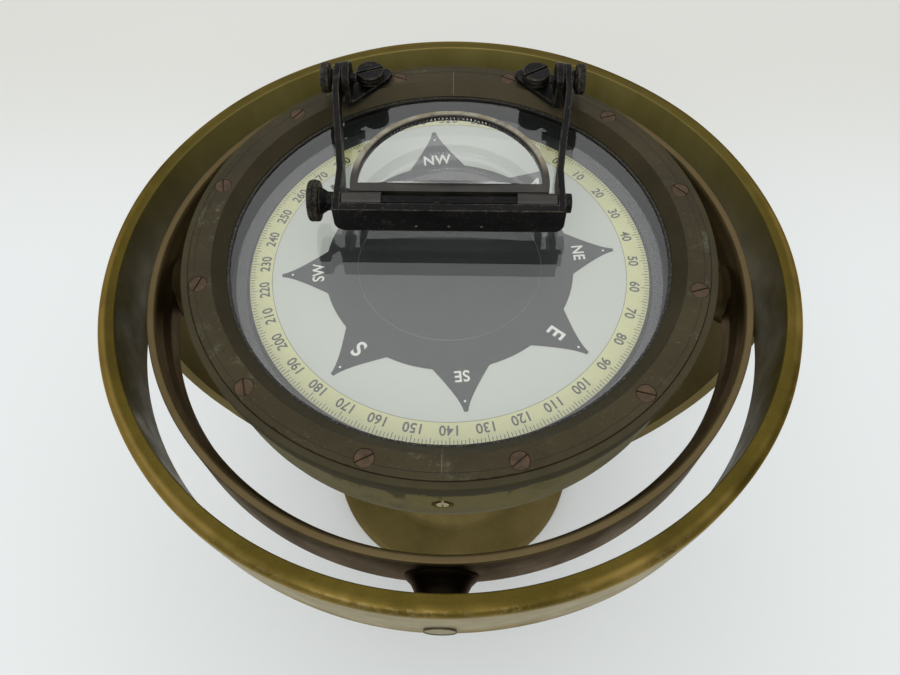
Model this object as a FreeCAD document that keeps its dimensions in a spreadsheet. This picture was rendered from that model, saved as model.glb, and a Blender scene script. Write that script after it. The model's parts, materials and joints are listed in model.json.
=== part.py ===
"""Ship's magnetic compass: gimballed liquid bowl on a bronze stand, with a hinged reading lens.

Millimetres. +Z is up, +X is starboard and the front (the reader's side) faces -Y.
The origin is the centre of the foot's underside.
"""
import FreeCAD, Part
import math
import os

import Sketcher
from FreeCAD import Placement, Rotation, Vector

DRIVING_DIMENSIONS = [
    # stand
    ("foot_radius", 86, "round foot, outer radius"),
    ("foot_rim_height", 7, "height of the foot's outer rim"),
    ("foot_shoulder_radius", 52, "where the foot's top surface turns up into the pedestal"),
    ("foot_shoulder_z", 13, "height of that shoulder"),
    ("pedestal_radius", 34, "waist of the pedestal"),
    ("pedestal_waist_z", 38, "height of the waist"),
    ("saddle_radius", 46, "pedestal radius under the yoke"),
    ("saddle_top_z", 74, "top of the pedestal before the saddle is cut"),
    ("foot_bolt_circle", 70, "radius of the mounting-bolt circle"),
    ("foot_bolt_hole", 4, "radius of a mounting-bolt hole"),
    ("foot_bolt_depth", 6, "depth of a mounting-bolt hole, from the underside"),
    ("axis_z", 221, "height of both gimbal axes"),
    ("yoke_inner_radius", 152, "inside of the U-shaped yoke, about the fore-and-aft axis"),
    ("yoke_thickness", 6, "thickness of the yoke strap"),
    ("yoke_foot_half_width", 40, "half width of the strap at the pedestal"),
    ("yoke_waist_half_width", 27, "half width of the strap at half height"),
    ("yoke_waist_z", 135, "height where that is measured"),
    ("yoke_top_half_width", 17, "half width of the strap under the ring"),
    ("yoke_pad_thickness", 5, "pad at each end of the yoke, brazed under the ring"),
    ("yoke_screw_offset", 20, "foot screws, from the middle along X and Y"),
    ("yoke_screw_radius", 4, "foot screw shank"),
    ("ring_outer_radius", 163.5, "outer ring"),
    ("ring_inner_radius", 155, "outer ring, inside"),
    ("ring_top_z", 250, "top of the outer ring"),
    ("ring_height", 42, "height of the outer ring"),
    ("ring_outer_round", 5, "rounding of its outer top edge"),
    ("ring_inner_round", 1.2, "rounding of its inner top edge"),
    ("ring_foot_round", 2.5, "rounding of its outer lower edge"),
    # gimbal ring and pivots
    ("pin_radius", 4.5, "journal of every gimbal pivot"),
    ("pin_clearance", 0.05, "radial clearance in the bushes"),
    ("plug_radius", 6.5, "threaded plug of a fore-and-aft pivot"),
    ("bush_radius", 7, "outside of a pivot bush"),
    ("boss_face_radius", 153.8, "outer face of the fore-and-aft bosses"),
    ("boss_radius", 10.5, "boss of the gimbal ring"),
    ("boss_root_radius", 14.5, "flared root of a boss"),
    ("boss_flare", 5, "length of the flare"),
    ("gimbal_outer_radius", 143, "gimbal ring"),
    ("gimbal_rim_radius", 139.2, "inside of its thin upper rim"),
    ("gimbal_bead_radius", 136, "inside of its thick middle"),
    ("gimbal_top_z", 243.5, "top of the gimbal ring"),
    ("gimbal_height", 32, "height of the gimbal ring"),
    ("gimbal_rim_height", 5, "height of the thin rim"),
    ("gimbal_slope", 5, "height of the slope from the rim to the thick middle"),
    ("inner_boss_face", 122.6, "inner face of the side bosses"),
    ("head_radius", 7.5, "head of a side pivot"),
    ("head_length", 5, "length of that head"),
    # bowl
    ("bowl_rim_radius", 121.2, "outside of the bowl's rim"),
    ("bowl_rim_top_z", 263.3, "top of the bowl's rim"),
    ("bowl_rim_height", 14, "height of the rim"),
    ("bowl_wall_radius", 117.5, "outside of the bowl's wall"),
    ("bowl_wall", 5, "thickness of the bowl's wall"),
    ("bowl_floor_z", 187, "underside of the bowl at its middle opening"),
    ("bowl_knuckle", 40, "outer radius of the bend from wall to floor"),
    ("bowl_mouth_radius", 60, "opening in the bowl's floor"),
    ("bezel_radius", 118, "bezel ring, outside"),
    ("bezel_top_z", 264, "top of the bezel ring"),
    ("bezel_thickness", 6.3, "thickness of the bezel ring"),
    ("bezel_face_radius", 107.6, "inner edge of the flat face"),
    ("bezel_bore_radius", 102.2, "inner edge of the bevel"),
    ("glass_radius", 108.5, "cover glass"),
    ("glass_thickness", 5, "cover glass"),
    ("gasket_thickness", 0.7, "packing above the glass"),
    ("seat_radius", 104.2, "bore below the glass"),
    ("seat_thickness", 1.2, "packing below the glass"),
    ("ledge_radius", 101.5, "bore of the ledge that carries the verge ring"),
    ("ledge_z", 240, "top of that ledge"),
    ("verge_inner_radius", 97.2, "verge ring, inside"),
    ("verge_thickness", 2, "verge ring"),
    ("bezel_screw_circle", 113.4, "radius of the bezel-screw circle"),
    ("bezel_screw_head", 4.1, "radius of a bezel-screw head"),
    ("bezel_screw_shank", 2.2, "radius of its shank"),
    ("trunnion_radius", 12, "bowl's trunnion boss"),
    ("trunnion_face", 121.2, "outer face of the trunnion boss"),
    ("trunnion_back", 105, "inner, closed end of the trunnion boss"),
    ("filler_z", 236, "height of the filler plug"),
    ("filler_radius", 4.5, "filler hole"),
    # bowl, inside and below
    ("bridge_z", 204, "underside of the pivot bridge"),
    ("bridge_thickness", 4, "pivot bridge"),
    ("bridge_half_length", 84, "pivot bridge"),
    ("bridge_half_width", 8, "pivot bridge"),
    ("stem_radius", 5, "pivot stem"),
    ("point_z", 237.5, "tip of the pivot point"),
    ("housing_radius", 58, "lower housing, outside"),
    ("housing_wall", 3, "lower housing"),
    ("housing_floor_z", 129, "underside of the lower housing"),
    ("housing_flange_radius", 74, "lower housing, flange"),
    ("flange_thickness", 5, "lower housing, flange"),
    ("housing_screw_circle", 67, "radius of the housing-screw circle"),
    ("ballast_radius", 82, "ballast ring, outside"),
    ("ballast_height", 34, "ballast ring"),
    ("cover_radius", 84, "bottom cover"),
    ("cover_thickness", 4, "bottom cover"),
    ("bellows_radius", 42, "expansion bellows"),
    ("bellows_z", 137, "foot of the expansion bellows"),
    ("bellows_folds", 4, "number of corrugations"),
    ("bellows_pitch", 7, "one corrugation of the bellows"),
    ("bellows_skin", 0.8, "thickness of its sheet"),
    # card
    ("card_radius", 95.25, "compass card, 7.5 inches across"),
    ("card_top_z", 243.5, "top of the card"),
    ("card_thickness", 0.6, "card"),
    ("float_radius", 42, "float under the card"),
    ("float_floor_z", 226, "underside of the float"),
    ("float_well_radius", 9, "well in the middle of the float"),
    ("magnet_radius", 2.5, "magnet bar"),
    ("magnet_length", 74, "magnet bar"),
    ("magnet_spacing", 22, "magnets, from the middle"),
    ("magnet_z", 221, "height of the magnets' centre line"),
    # reading lens: brackets
    ("hinge_y", 94, "axis of the magnifier's arms"),
    ("hinge_z", 276, "height of that axis"),
    ("lug_inner_x", 52.4, "bracket lug"),
    ("lug_outer_x", 56.2, "bracket lug"),
    ("lug_radius", 8, "rounded top of the lug"),
    ("plate_thickness", 3, "bracket plate on the bezel"),
    ("clamp_x", 43.6, "bracket screw"),
    ("clamp_y", 103.1, "bracket screw"),
    ("clamp_head_radius", 7.7, "bracket-screw head"),
    ("clamp_head_height", 7, "bracket-screw head"),
    ("clamp_shank_radius", 3.2, "bracket-screw shank"),
    ("thumb_radius", 7.5, "knurled head of a thumbscrew"),
    ("thumb_shank_radius", 2.5, "thumbscrew shank"),
    # reading lens: U-shaped bracket
    ("arm_outer_x", 59.9, "arm at the hinge, outside"),
    ("arm_thickness", 3.2, "arm"),
    ("arm_eye_radius", 7.5, "eye of the arm"),
    ("bar_half_length", 52.6, "front bar"),
    ("bar_front_y", 3.8, "front face of the bar"),
    ("bar_thickness", 4.2, "front bar"),
    ("bar_foot_z", 262, "lower edge of the bar"),
    ("bar_height", 14, "front bar"),
    ("bar_corner", 5, "rounded lower corners of the bar"),
    # reading lens: lens and its shaft
    ("shaft_y", 12.7, "axis of the lens shaft"),
    ("shaft_z", 272, "height of that axis"),
    ("shaft_radius", 2.9, "lens shaft"),
    ("barrel_radius", 4.3, "hinge barrel of the lens frame"),
    ("barrel_inner_x", 31, "inner end of a barrel"),
    ("barrel_outer_x", 49, "outer end of a barrel"),
    ("knob_radius", 9.5, "knurled head of the lens knob"),
    ("frame_radius", 46.3, "outside of the lens frame's round part"),
    ("frame_centre_y", 24.8, "centre of the lens frame's round part"),
    ("frame_front_y", 16.8, "front edge of the lens frame"),
    ("frame_bar_width", 5.2, "straight bar of the lens frame"),
    ("frame_rim_width", 3.4, "round rim of the lens frame"),
    ("frame_floor_z", 269.6, "underside of the lens frame"),
    ("frame_height", 5, "lens frame"),
    ("lens_edge_thickness", 2.5, "lens at its edge"),
    ("lens_crown", 3.2, "height of the lens's dome, above and below"),
]

doc = FreeCAD.newDocument("ship_compass")
dims = doc.addObject("Spreadsheet::Sheet", "Dims")
for row, (alias, size, meaning) in enumerate(DRIVING_DIMENSIONS, start=1):
    dims.set("A%d" % row, meaning)
    dims.set("B%d" % row, str(size))
    dims.setAlias("B%d" % row, alias)
doc.recompute()

TURN_Z_TO = {
    "X": Rotation(Vector(0, 1, 0), 90),
    "Y": Rotation(Vector(1, 0, 0), -90),
    "Z": Rotation(),
}
PLANES = {"top": "XY_Plane", "front": "XZ_Plane", "side": "YZ_Plane"}
nodes = []


# ---------------------------------------------------------------- sizes

def size_of(formula):
    """The value of a sum or difference of cells and numbers, such as 'axis_z - 2'."""
    total = 0.0
    sign = 1.0
    for word in str(formula).split():
        if word in ("+", "-"):
            sign = -1.0 if word == "-" else 1.0
        else:
            total += sign * (getattr(dims, word) if word[0].isalpha() else float(word))
            sign = 1.0
    return total


def negative(formula):
    """The formula with every sign turned round."""
    words = str(formula).split()
    if words[0] == "0":
        words = words[1:]
    else:
        words = ["+"] + words
    return " ".join(["0"] + [{"+": "-", "-": "+"}.get(word, word) for word in words])


def less(formula, taken):
    """The first formula with the second one taken away."""
    return formula + negative(taken)[1:]


def signed(side, formula):
    return formula if side > 0 else negative(formula)


def cells(formula):
    """The same formula as the document's expression engine reads it."""
    return " ".join("Dims." + word if word[0].isalpha() else word for word in str(formula).split())


# ---------------------------------------------------------------- building blocks

def place(piece, at):
    for letter, formula in zip("xyz", at):
        piece.setExpression(".Placement.Base." + letter, cells(formula))
    return piece


def rod(name, axis, radius, length, at):
    piece = doc.addObject("Part::Cylinder", name)
    piece.setExpression("Radius", cells(radius))
    piece.setExpression("Height", cells(length))
    piece.Placement = Placement(Vector(), TURN_Z_TO[axis])
    return place(piece, at)


def taper(name, axis, start_radius, end_radius, length, at):
    piece = doc.addObject("Part::Cone", name)
    piece.setExpression("Radius1", cells(start_radius))
    piece.setExpression("Radius2", cells(end_radius))
    piece.setExpression("Height", cells(length))
    piece.Placement = Placement(Vector(), TURN_Z_TO[axis])
    return place(piece, at)


def block(name, size, at):
    piece = doc.addObject("Part::Box", name)
    for side, formula in zip(("Length", "Width", "Height"), size):
        piece.setExpression(side, cells(formula))
    return place(piece, at)


def fuse(name, pieces):
    joined = doc.addObject("Part::MultiFuse", name)
    joined.Shapes = pieces
    joined.Refine = True
    return joined


def cut(name, base, tools):
    tool = tools[0] if len(tools) == 1 else fuse(name + "_tools", tools)
    result = doc.addObject("Part::Cut", name)
    result.Base = base
    result.Tool = tool
    result.Refine = True
    return result


def common(name, first, second):
    result = doc.addObject("Part::Common", name)
    result.Base = first
    result.Tool = second
    result.Refine = True
    return result


def group(name, pieces):
    result = doc.addObject("Part::Compound", name)
    result.Links = pieces
    return result


def mirrored(name, piece):
    """The same piece on the port side."""
    result = doc.addObject("Part::Mirroring", name)
    result.Source = piece
    result.Normal = Vector(1, 0, 0)
    return result


def outline(body, name, plane, points):
    """A closed sketch through the points, every one held by two bound distances."""
    sketch = body.newObject("Sketcher::SketchObject", name)
    roles = {feature.Role: feature for feature in body.Origin.OriginFeatures}
    sketch.AttachmentSupport = (roles[PLANES[plane]], [""])
    sketch.MapMode = "FlatFace"
    corners = [Vector(size_of(x), size_of(y), 0) for x, y in points]
    for start, end in zip(corners, corners[1:] + corners[:1]):
        sketch.addGeometry(Part.LineSegment(start, end), False)
    for index in range(len(corners)):
        following = (index + 1) % len(corners)
        sketch.addConstraint(Sketcher.Constraint("Coincident", index, 2, following, 1))
    for index, (x, y) in enumerate(points):
        for kind, formula, axis in (("DistanceX", x, -2), ("DistanceY", y, -1)):
            if abs(size_of(formula)) < 1e-9:
                sketch.addConstraint(Sketcher.Constraint("PointOnObject", index, 1, axis))
            else:
                rule = Sketcher.Constraint(kind, -1, 1, index, 1, size_of(formula))
                number = sketch.addConstraint(rule)
                sketch.setExpression("Constraints[%d]" % number, cells(formula))
    return sketch


def turned(name, section, rounds=()):
    """A lathe part: the section is (radius, height) points, turned about Z."""
    body = doc.addObject("PartDesign::Body", name)
    sketch = outline(body, name + "_section", "front", section)
    turning = body.newObject("PartDesign::Revolution", name + "_turning")
    turning.Profile = sketch
    turning.ReferenceAxis = (sketch, ["V_Axis"])
    turning.Angle = 360
    doc.recompute()
    for number, (radius, height, round_radius) in enumerate(rounds, start=1):
        base = body.Tip
        edges = circle_edges(base.Shape, size_of(radius), size_of(height))
        fillet = body.newObject("PartDesign::Fillet", "%s_round_%d" % (name, number))
        fillet.Base = (base, edges)
        fillet.setExpression("Radius", cells(round_radius))
        body.Tip = fillet
        doc.recompute()
    return body


def circle_edges(shape, radius, height):
    names = []
    for number, edge in enumerate(shape.Edges, start=1):
        curve = edge.Curve
        if isinstance(curve, Part.Circle) and abs(curve.Radius - radius) < 0.01:
            if abs(curve.Center.z - height) < 0.01:
                names.append("Edge%d" % number)
    return names


def slab(name, plane, points, thickness, start="0", corners=(), corner_radius=None):
    """A flat piece cut to an outline, thickened along the plane's normal from start."""
    body = doc.addObject("PartDesign::Body", name)
    sketch = outline(body, name + "_outline", plane, points)
    sketch.setExpression(".AttachmentOffset.Base.z", cells(start))
    pad = body.newObject("PartDesign::Pad", name + "_pad")
    pad.Profile = sketch
    pad.setExpression("Length", cells(thickness))
    doc.recompute()
    if corners:
        edges = upright_edges(pad.Shape, plane, corners)
        fillet = body.newObject("PartDesign::Fillet", name + "_corners")
        fillet.Base = (pad, edges)
        fillet.setExpression("Radius", cells(corner_radius))
        body.Tip = fillet
        doc.recompute()
    return body


def upright_edges(shape, plane, corners):
    """Names of the straight edges along the plane's normal at the given outline points."""
    along = {"top": (0, 1), "front": (0, 2), "side": (1, 2)}[plane]
    names = []
    for number, edge in enumerate(shape.Edges, start=1):
        first = edge.Vertexes[0].Point
        last = edge.Vertexes[-1].Point
        for x, y in corners:
            wanted = (size_of(x), size_of(y))
            near = all(abs(point[along[k]] - wanted[k]) < 0.01 for point in (first, last) for k in (0, 1))
            if near and (first - last).Length > 0.5:
                names.append("Edge%d" % number)
    return names


def around(name, count, first_angle, circle, build):
    """Copies of one upright piece, evenly spaced on a circle about Z."""
    pieces = []
    for number in range(count):
        angle = math.radians(first_angle + 360.0 * number / count)
        at_x = "%.6f" % (size_of(circle) * math.cos(angle))
        at_y = "%.6f" % (size_of(circle) * math.sin(angle))
        pieces.append(build("%s_%d" % (name, number + 1), at_x, at_y))
    return pieces


def node(label, piece):
    """Marks a finished piece: its label is the node's name."""
    piece.Label = label
    nodes.append(piece)
    return piece


def screw(name, at_x, at_y, top_z, head_radius, head_height, shank_radius, shank_length):
    """An upright screw with a slotted cylindrical head; top_z is the top of its head."""
    seat_z = less(top_z, head_height)
    head = rod(name + "_head", "Z", head_radius, head_height, (at_x, at_y, seat_z))
    shank = rod(name + "_shank", "Z", shank_radius, shank_length, (at_x, at_y, less(seat_z, shank_length)))
    slot_depth = "%.4f" % (size_of(head_height) * 0.4)
    slot_width = "%.4f" % (size_of(head_radius) * 0.24)
    slot = block(
        name + "_slot",
        (head_radius + " + " + head_radius, slot_width, slot_depth),
        (less(at_x, head_radius), at_y + " - %.4f" % (size_of(slot_width) / 2), less(top_z, slot_depth)),
    )
    return cut(name, fuse(name + "_blank", [head, shank]), [slot])


# ---------------------------------------------------------------- stand

def build_foot():
    casting = turned(
        "foot_casting",
        [
            ("0", "0"),
            ("foot_radius", "0"),
            ("foot_radius", "foot_rim_height"),
            ("foot_shoulder_radius", "foot_shoulder_z"),
            ("pedestal_radius", "pedestal_waist_z"),
            ("saddle_radius", "saddle_top_z"),
            ("0", "saddle_top_z"),
        ],
        rounds=[
            ("foot_radius", "foot_rim_height", "3"),
            ("foot_shoulder_radius", "foot_shoulder_z", "18"),
            ("pedestal_radius", "pedestal_waist_z", "20"),
        ],
    )
    saddle = rod("foot_saddle", "Y", "yoke_inner_radius + yoke_thickness", "200", ("0", "-100", "axis_z"))
    holes = around(
        "foot_bolt_hole_tool", 3, 90, "foot_bolt_circle",
        lambda name, x, y: rod(name, "Z", "foot_bolt_hole", "foot_bolt_depth + 10", (x, y, "-10")),
    )
    threads = [
        rod(
            "foot_thread_%d" % number, "Z", "yoke_screw_radius", "26",
            (x, y, "axis_z - yoke_inner_radius - 26"),
        )
        for number, (x, y) in enumerate(foot_screw_places(), start=1)
    ]
    node("base_foot", cut("foot", casting, [saddle] + holes + threads))


def foot_screw_places():
    near = "yoke_screw_offset"
    return [(near, near), ("0 - " + near, near), ("0 - " + near, "0 - " + near), (near, "0 - " + near)]


def build_yoke():
    outer = rod("yoke_outer", "Y", "yoke_inner_radius + yoke_thickness", "110", ("0", "-55", "axis_z"))
    inner = rod("yoke_inner", "Y", "yoke_inner_radius", "110", ("0", "-55", "axis_z"))
    tube = cut("yoke_tube", outer, [inner])
    half_shape = [
        ("yoke_foot_half_width", "55"),
        ("yoke_foot_half_width", "70"),
        ("yoke_waist_half_width", "yoke_waist_z"),
        ("yoke_top_half_width", "ring_top_z - ring_height - yoke_pad_thickness"),
    ]
    port_shape = [("0 - " + y, z) for y, z in reversed(half_shape)]
    blade = slab("yoke_blade", "side", half_shape + port_shape, "340", start="-170")
    pad_z = "ring_top_z - ring_height - yoke_pad_thickness"
    disc = rod("yoke_pad_disc", "Z", "ring_outer_radius - 1.5", "yoke_pad_thickness", ("0", "0", pad_z))
    bore = rod("yoke_pad_bore", "Z", "yoke_inner_radius - 0.5", "yoke_pad_thickness", ("0", "0", pad_z))
    width = "yoke_top_half_width + yoke_top_half_width"
    limit = block(
        "yoke_pad_limit", ("ring_outer_radius + ring_outer_radius", width, "yoke_pad_thickness"),
        ("0 - ring_outer_radius", "0 - yoke_top_half_width", pad_z),
    )
    pads = common("yoke_pads", cut("yoke_pad_ring", disc, [bore]), limit)
    strap = fuse("yoke_strap", [common("yoke_bands", tube, blade), pads])
    shanks = [
        rod(
            "yoke_hole_%d" % number, "Z", "yoke_screw_radius", "30",
            (x, y, "axis_z - yoke_inner_radius - 20"),
        )
        for number, (x, y) in enumerate(foot_screw_places(), start=1)
    ]
    node("yoke", cut("yoke_casting", strap, shanks))


def build_stand_screws():
    screws = []
    for number, (x, y) in enumerate(foot_screw_places(), start=1):
        drop = math.sqrt(size_of("yoke_inner_radius") ** 2 - size_of("yoke_screw_offset") ** 2)
        seat = "axis_z - %.4f" % (drop - 2.6)
        name = "yoke_screw_%d" % number
        head = ("yoke_screw_radius + 3", "4")
        shank = ("yoke_screw_radius", "20")
        screws.append(screw(name, x, y, seat + " + 3", *head, *shank))
    node("yoke_screws", group("yoke_screw_group", screws))
def build_outer_ring():
    blank = turned(
        "ring_blank",
        [
            ("ring_inner_radius", "ring_top_z - ring_height"),
            ("ring_outer_radius - 1", "ring_top_z - ring_height"),
            ("ring_outer_radius", "ring_top_z - 10"),
            ("ring_outer_radius", "ring_top_z"),
            ("ring_inner_radius", "ring_top_z"),
        ],
        rounds=[
            ("ring_outer_radius", "ring_top_z", "ring_outer_round"),
            ("ring_inner_radius", "ring_top_z", "ring_inner_round"),
            ("ring_outer_radius - 1", "ring_top_z - ring_height", "ring_foot_round"),
        ],
    )
    plug_bore = rod("ring_plug_bore", "Y", "plug_radius", "400", ("0", "-200", "axis_z"))
    node("outer_ring", cut("ring_casting", blank, [plug_bore]))
    pins = []
    for number, side in enumerate((1, -1), start=1):
        plug_start = "ring_inner_radius" if side > 0 else "0 - ring_outer_radius + 0.4"
        plug = rod(
            "gimbal_plug_%d" % number, "Y", "plug_radius",
            "ring_outer_radius - ring_inner_radius - 0.4", ("0", plug_start, "axis_z"),
        )
        journal_start = "gimbal_bead_radius + 4" if side > 0 else "0 - ring_inner_radius"
        journal = rod(
            "gimbal_journal_%d" % number, "Y", "pin_radius",
            "ring_inner_radius - gimbal_bead_radius - 4", ("0", journal_start, "axis_z"),
        )
        pins.append(fuse("gimbal_pin_%d" % number, [plug, journal]))
    node("gimbal_pivot_pins", group("gimbal_pin_group", pins))


# ---------------------------------------------------------------- gimbal ring

def boss(name, axis, side, root, face):
    """A flared boss of the gimbal ring, from the radius root to the radius face."""
    outward = size_of(face) > size_of(root)
    near, far = (root, face) if outward else (face, root)
    start = near if side > 0 else negative(far)
    spot = (start, "0", "axis_z") if axis == "X" else ("0", start, "axis_z")
    stem = rod(name + "_stem", axis, "boss_radius", less(far, near), spot)
    grows = (side > 0) != outward
    first, last = ("boss_radius", "boss_root_radius") if grows else ("boss_root_radius", "boss_radius")
    flare_from = signed(side, root)
    if grows:
        flare_from += " - boss_flare"
    spot = (flare_from, "0", "axis_z") if axis == "X" else ("0", flare_from, "axis_z")
    flare = taper(name + "_flare", axis, first, last, "boss_flare", spot)
    return [stem, flare]


def build_gimbal():
    low = "gimbal_top_z - gimbal_height"
    blank = turned(
        "gimbal_blank",
        [
            ("gimbal_outer_radius", low),
            ("gimbal_outer_radius", "gimbal_top_z"),
            ("gimbal_rim_radius", "gimbal_top_z"),
            ("gimbal_rim_radius", "gimbal_top_z - gimbal_rim_height"),
            ("gimbal_bead_radius", "gimbal_top_z - gimbal_rim_height - gimbal_slope"),
            ("gimbal_bead_radius", low + " + 6"),
            ("gimbal_bead_radius + 2", low),
        ],
        rounds=[
            ("gimbal_outer_radius", "gimbal_top_z", "1.2"),
            ("gimbal_rim_radius", "gimbal_top_z", "1.2"),
            ("gimbal_bead_radius", "gimbal_top_z - gimbal_rim_height - gimbal_slope", "4"),
            ("gimbal_outer_radius", low, "2"),
        ],
    )
    pieces = [blank]
    for number, side in enumerate((1, -1), start=1):
        fore = "gimbal_fore_boss_%d" % number
        pieces += boss(fore, "Y", side, "gimbal_outer_radius - 1", "boss_face_radius")
        beside = "gimbal_side_boss_%d" % number
        pieces += boss(beside, "X", side, "gimbal_bead_radius + 1", "inner_boss_face")
    bores = [rod("gimbal_side_bore", "X", "pin_radius", "400", ("-200", "0", "axis_z"))]
    for number, side in enumerate((1, -1), start=1):
        start = "gimbal_bead_radius + 2" if side > 0 else "0 - boss_face_radius - 5"
        length = "boss_face_radius + 5 - gimbal_bead_radius - 2"
        name = "gimbal_fore_bore_%d" % number
        bores.append(rod(name, "Y", "bush_radius", length, ("0", start, "axis_z")))
    node("gimbal_ring", cut("gimbal_casting", fuse("gimbal_body", pieces), bores))
    bushes = []
    for number, side in enumerate((1, -1), start=1):
        length = "boss_face_radius - gimbal_bead_radius - 2"
        start = "gimbal_bead_radius + 2" if side > 0 else "0 - boss_face_radius"
        sleeve = rod("gimbal_sleeve_%d" % number, "Y", "bush_radius", length, ("0", start, "axis_z"))
        bore = rod(
            "gimbal_sleeve_bore_%d" % number, "Y", "pin_radius + pin_clearance", "400",
            ("0", "-200", "axis_z"),
        )
        bushes.append(cut("gimbal_bush_%d" % number, sleeve, [bore]))
    node("gimbal_bushes", group("gimbal_bush_group", bushes))
    pins = []
    for number, side in enumerate((1, -1), start=1):
        shaft_start = "trunnion_back + 4" if side > 0 else "0 - gimbal_outer_radius"
        shaft = rod(
            "bowl_pin_shaft_%d" % number, "X", "pin_radius",
            "gimbal_outer_radius - trunnion_back - 4", (shaft_start, "0", "axis_z"),
        )
        head_start = "gimbal_outer_radius" if side > 0 else "0 - gimbal_outer_radius - head_length"
        spot = (head_start, "0", "axis_z")
        head = rod("bowl_pin_head_%d" % number, "X", "head_radius", "head_length", spot)
        pins.append(fuse("bowl_pin_%d" % number, [shaft, head]))
    node("bowl_pivot_pins", group("bowl_pin_group", pins))


# ---------------------------------------------------------------- bowl, upper parts

def bezel_screw_holes(name, low, length):
    return around(
        name, 12, 15, "bezel_screw_circle",
        lambda label, x, y: rod(label, "Z", "bezel_screw_shank", length, (x, y, low)),
    )


def clamp_screw_holes(name, low, length):
    return [
        rod(name + "_1", "Z", "clamp_shank_radius", length, ("clamp_x", "clamp_y", low)),
        rod(name + "_2", "Z", "clamp_shank_radius", length, ("0 - clamp_x", "clamp_y", low)),
    ]


def build_bowl():
    seat_z = "bezel_top_z - bezel_thickness"
    glass_seat_z = seat_z + " - gasket_thickness - glass_thickness - seat_thickness"
    blank = turned(
        "bowl_blank",
        [
            ("bowl_mouth_radius", "bowl_floor_z"),
            ("bowl_wall_radius", "bowl_floor_z + 3"),
            ("bowl_wall_radius", "bowl_rim_top_z - bowl_rim_height - 2"),
            ("bowl_rim_radius", "bowl_rim_top_z - bowl_rim_height"),
            ("bowl_rim_radius", "bowl_rim_top_z"),
            ("bezel_radius + 0.15", "bowl_rim_top_z"),
            ("bezel_radius + 0.15", seat_z),
            ("glass_radius + 0.2", seat_z),
            ("glass_radius + 0.2", glass_seat_z),
            ("seat_radius", glass_seat_z),
            ("seat_radius", "ledge_z"),
            ("ledge_radius", "ledge_z"),
            ("ledge_radius", "ledge_z - 4"),
            ("bowl_wall_radius - bowl_wall", "ledge_z - 9"),
            ("bowl_wall_radius - bowl_wall", "bowl_floor_z + bowl_wall + 3"),
            ("bowl_mouth_radius", "bowl_floor_z + bowl_wall"),
        ],
        rounds=[
            ("bowl_wall_radius", "bowl_floor_z + 3", "bowl_knuckle"),
            ("bowl_wall_radius - bowl_wall", "bowl_floor_z + bowl_wall + 3", "bowl_knuckle - bowl_wall"),
            ("bowl_rim_radius", "bowl_rim_top_z", "0.8"),
        ],
    )
    bosses = []
    for number, side in enumerate((1, -1), start=1):
        start = "trunnion_back" if side > 0 else "0 - trunnion_face"
        spot = (start, "0", "axis_z")
        length = "trunnion_face - trunnion_back"
        bosses.append(rod("trunnion_boss_%d" % number, "X", "trunnion_radius", length, spot))
    lugs = []
    for number, side in enumerate((1, -1), start=1):
        spot = (signed(side, "bridge_half_length - 7"), "0", "bowl_floor_z + 3")
        lugs.append(rod("bridge_lug_%d" % number, "Z", "7", "bridge_z - bowl_floor_z - 3", spot))
    bores = []
    for number, side in enumerate((1, -1), start=1):
        start = "trunnion_back + 3" if side > 0 else "0 - trunnion_face - 5"
        spot = (start, "0", "axis_z")
        length = "trunnion_face + 2 - trunnion_back"
        bores.append(rod("trunnion_bore_%d" % number, "X", "bush_radius", length, spot))
    filler = rod("filler_bore", "Y", "filler_radius", "14", ("0", "0 - bowl_wall_radius - 2", "filler_z"))
    holes = bezel_screw_holes("bowl_bezel_thread", seat_z + " - 7", "20")
    holes += clamp_screw_holes("bowl_clamp_thread", seat_z + " - 6.5", "20")
    holes += around(
        "bowl_housing_thread", 8, 22.5, "housing_screw_circle",
        lambda label, x, y: rod(label, "Z", "2", "20", (x, y, "bowl_floor_z - 10")),
    )
    threads = []
    for number, side in enumerate((1, -1), start=1):
        spot = (signed(side, "bridge_half_length - 7"), "0", "bridge_z - 9")
        threads.append(rod("bridge_thread_%d" % number, "Z", "2.5", "20", spot))
    shell = fuse("bowl_body", [blank] + bosses + lugs)
    node("compass_bowl", cut("bowl_casting", shell, bores + [filler] + holes + threads))


def build_trunnion_bushes():
    bushes = []
    for number, side in enumerate((1, -1), start=1):
        start = "trunnion_back + 3" if side > 0 else "0 - trunnion_face"
        length = "trunnion_face - trunnion_back - 3"
        sleeve = rod("trunnion_sleeve_%d" % number, "X", "bush_radius", length, (start, "0", "axis_z"))
        bore = rod(
            "trunnion_sleeve_bore_%d" % number, "X", "pin_radius + pin_clearance", "400",
            ("-200", "0", "axis_z"),
        )
        bushes.append(cut("trunnion_bush_%d" % number, sleeve, [bore]))
    node("trunnion_bushes", group("trunnion_bush_group", bushes))


def build_filler_plug():
    front = "0 - bowl_wall_radius + 1.5"
    plug = rod("filler_shank", "Y", "filler_radius", "8", ("0", front, "filler_z"))
    stub = rod("filler_head", "Y", "2.6", "1.6", ("0", front + " - 1.6", "filler_z"))
    slot = block("filler_slot", ("0.8", "0.8", "6"), ("-0.4", front + " - 1.7", "filler_z - 3"))
    node("filler_plug", cut("filler_screw", fuse("filler_blank", [plug, stub]), [slot]))


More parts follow.
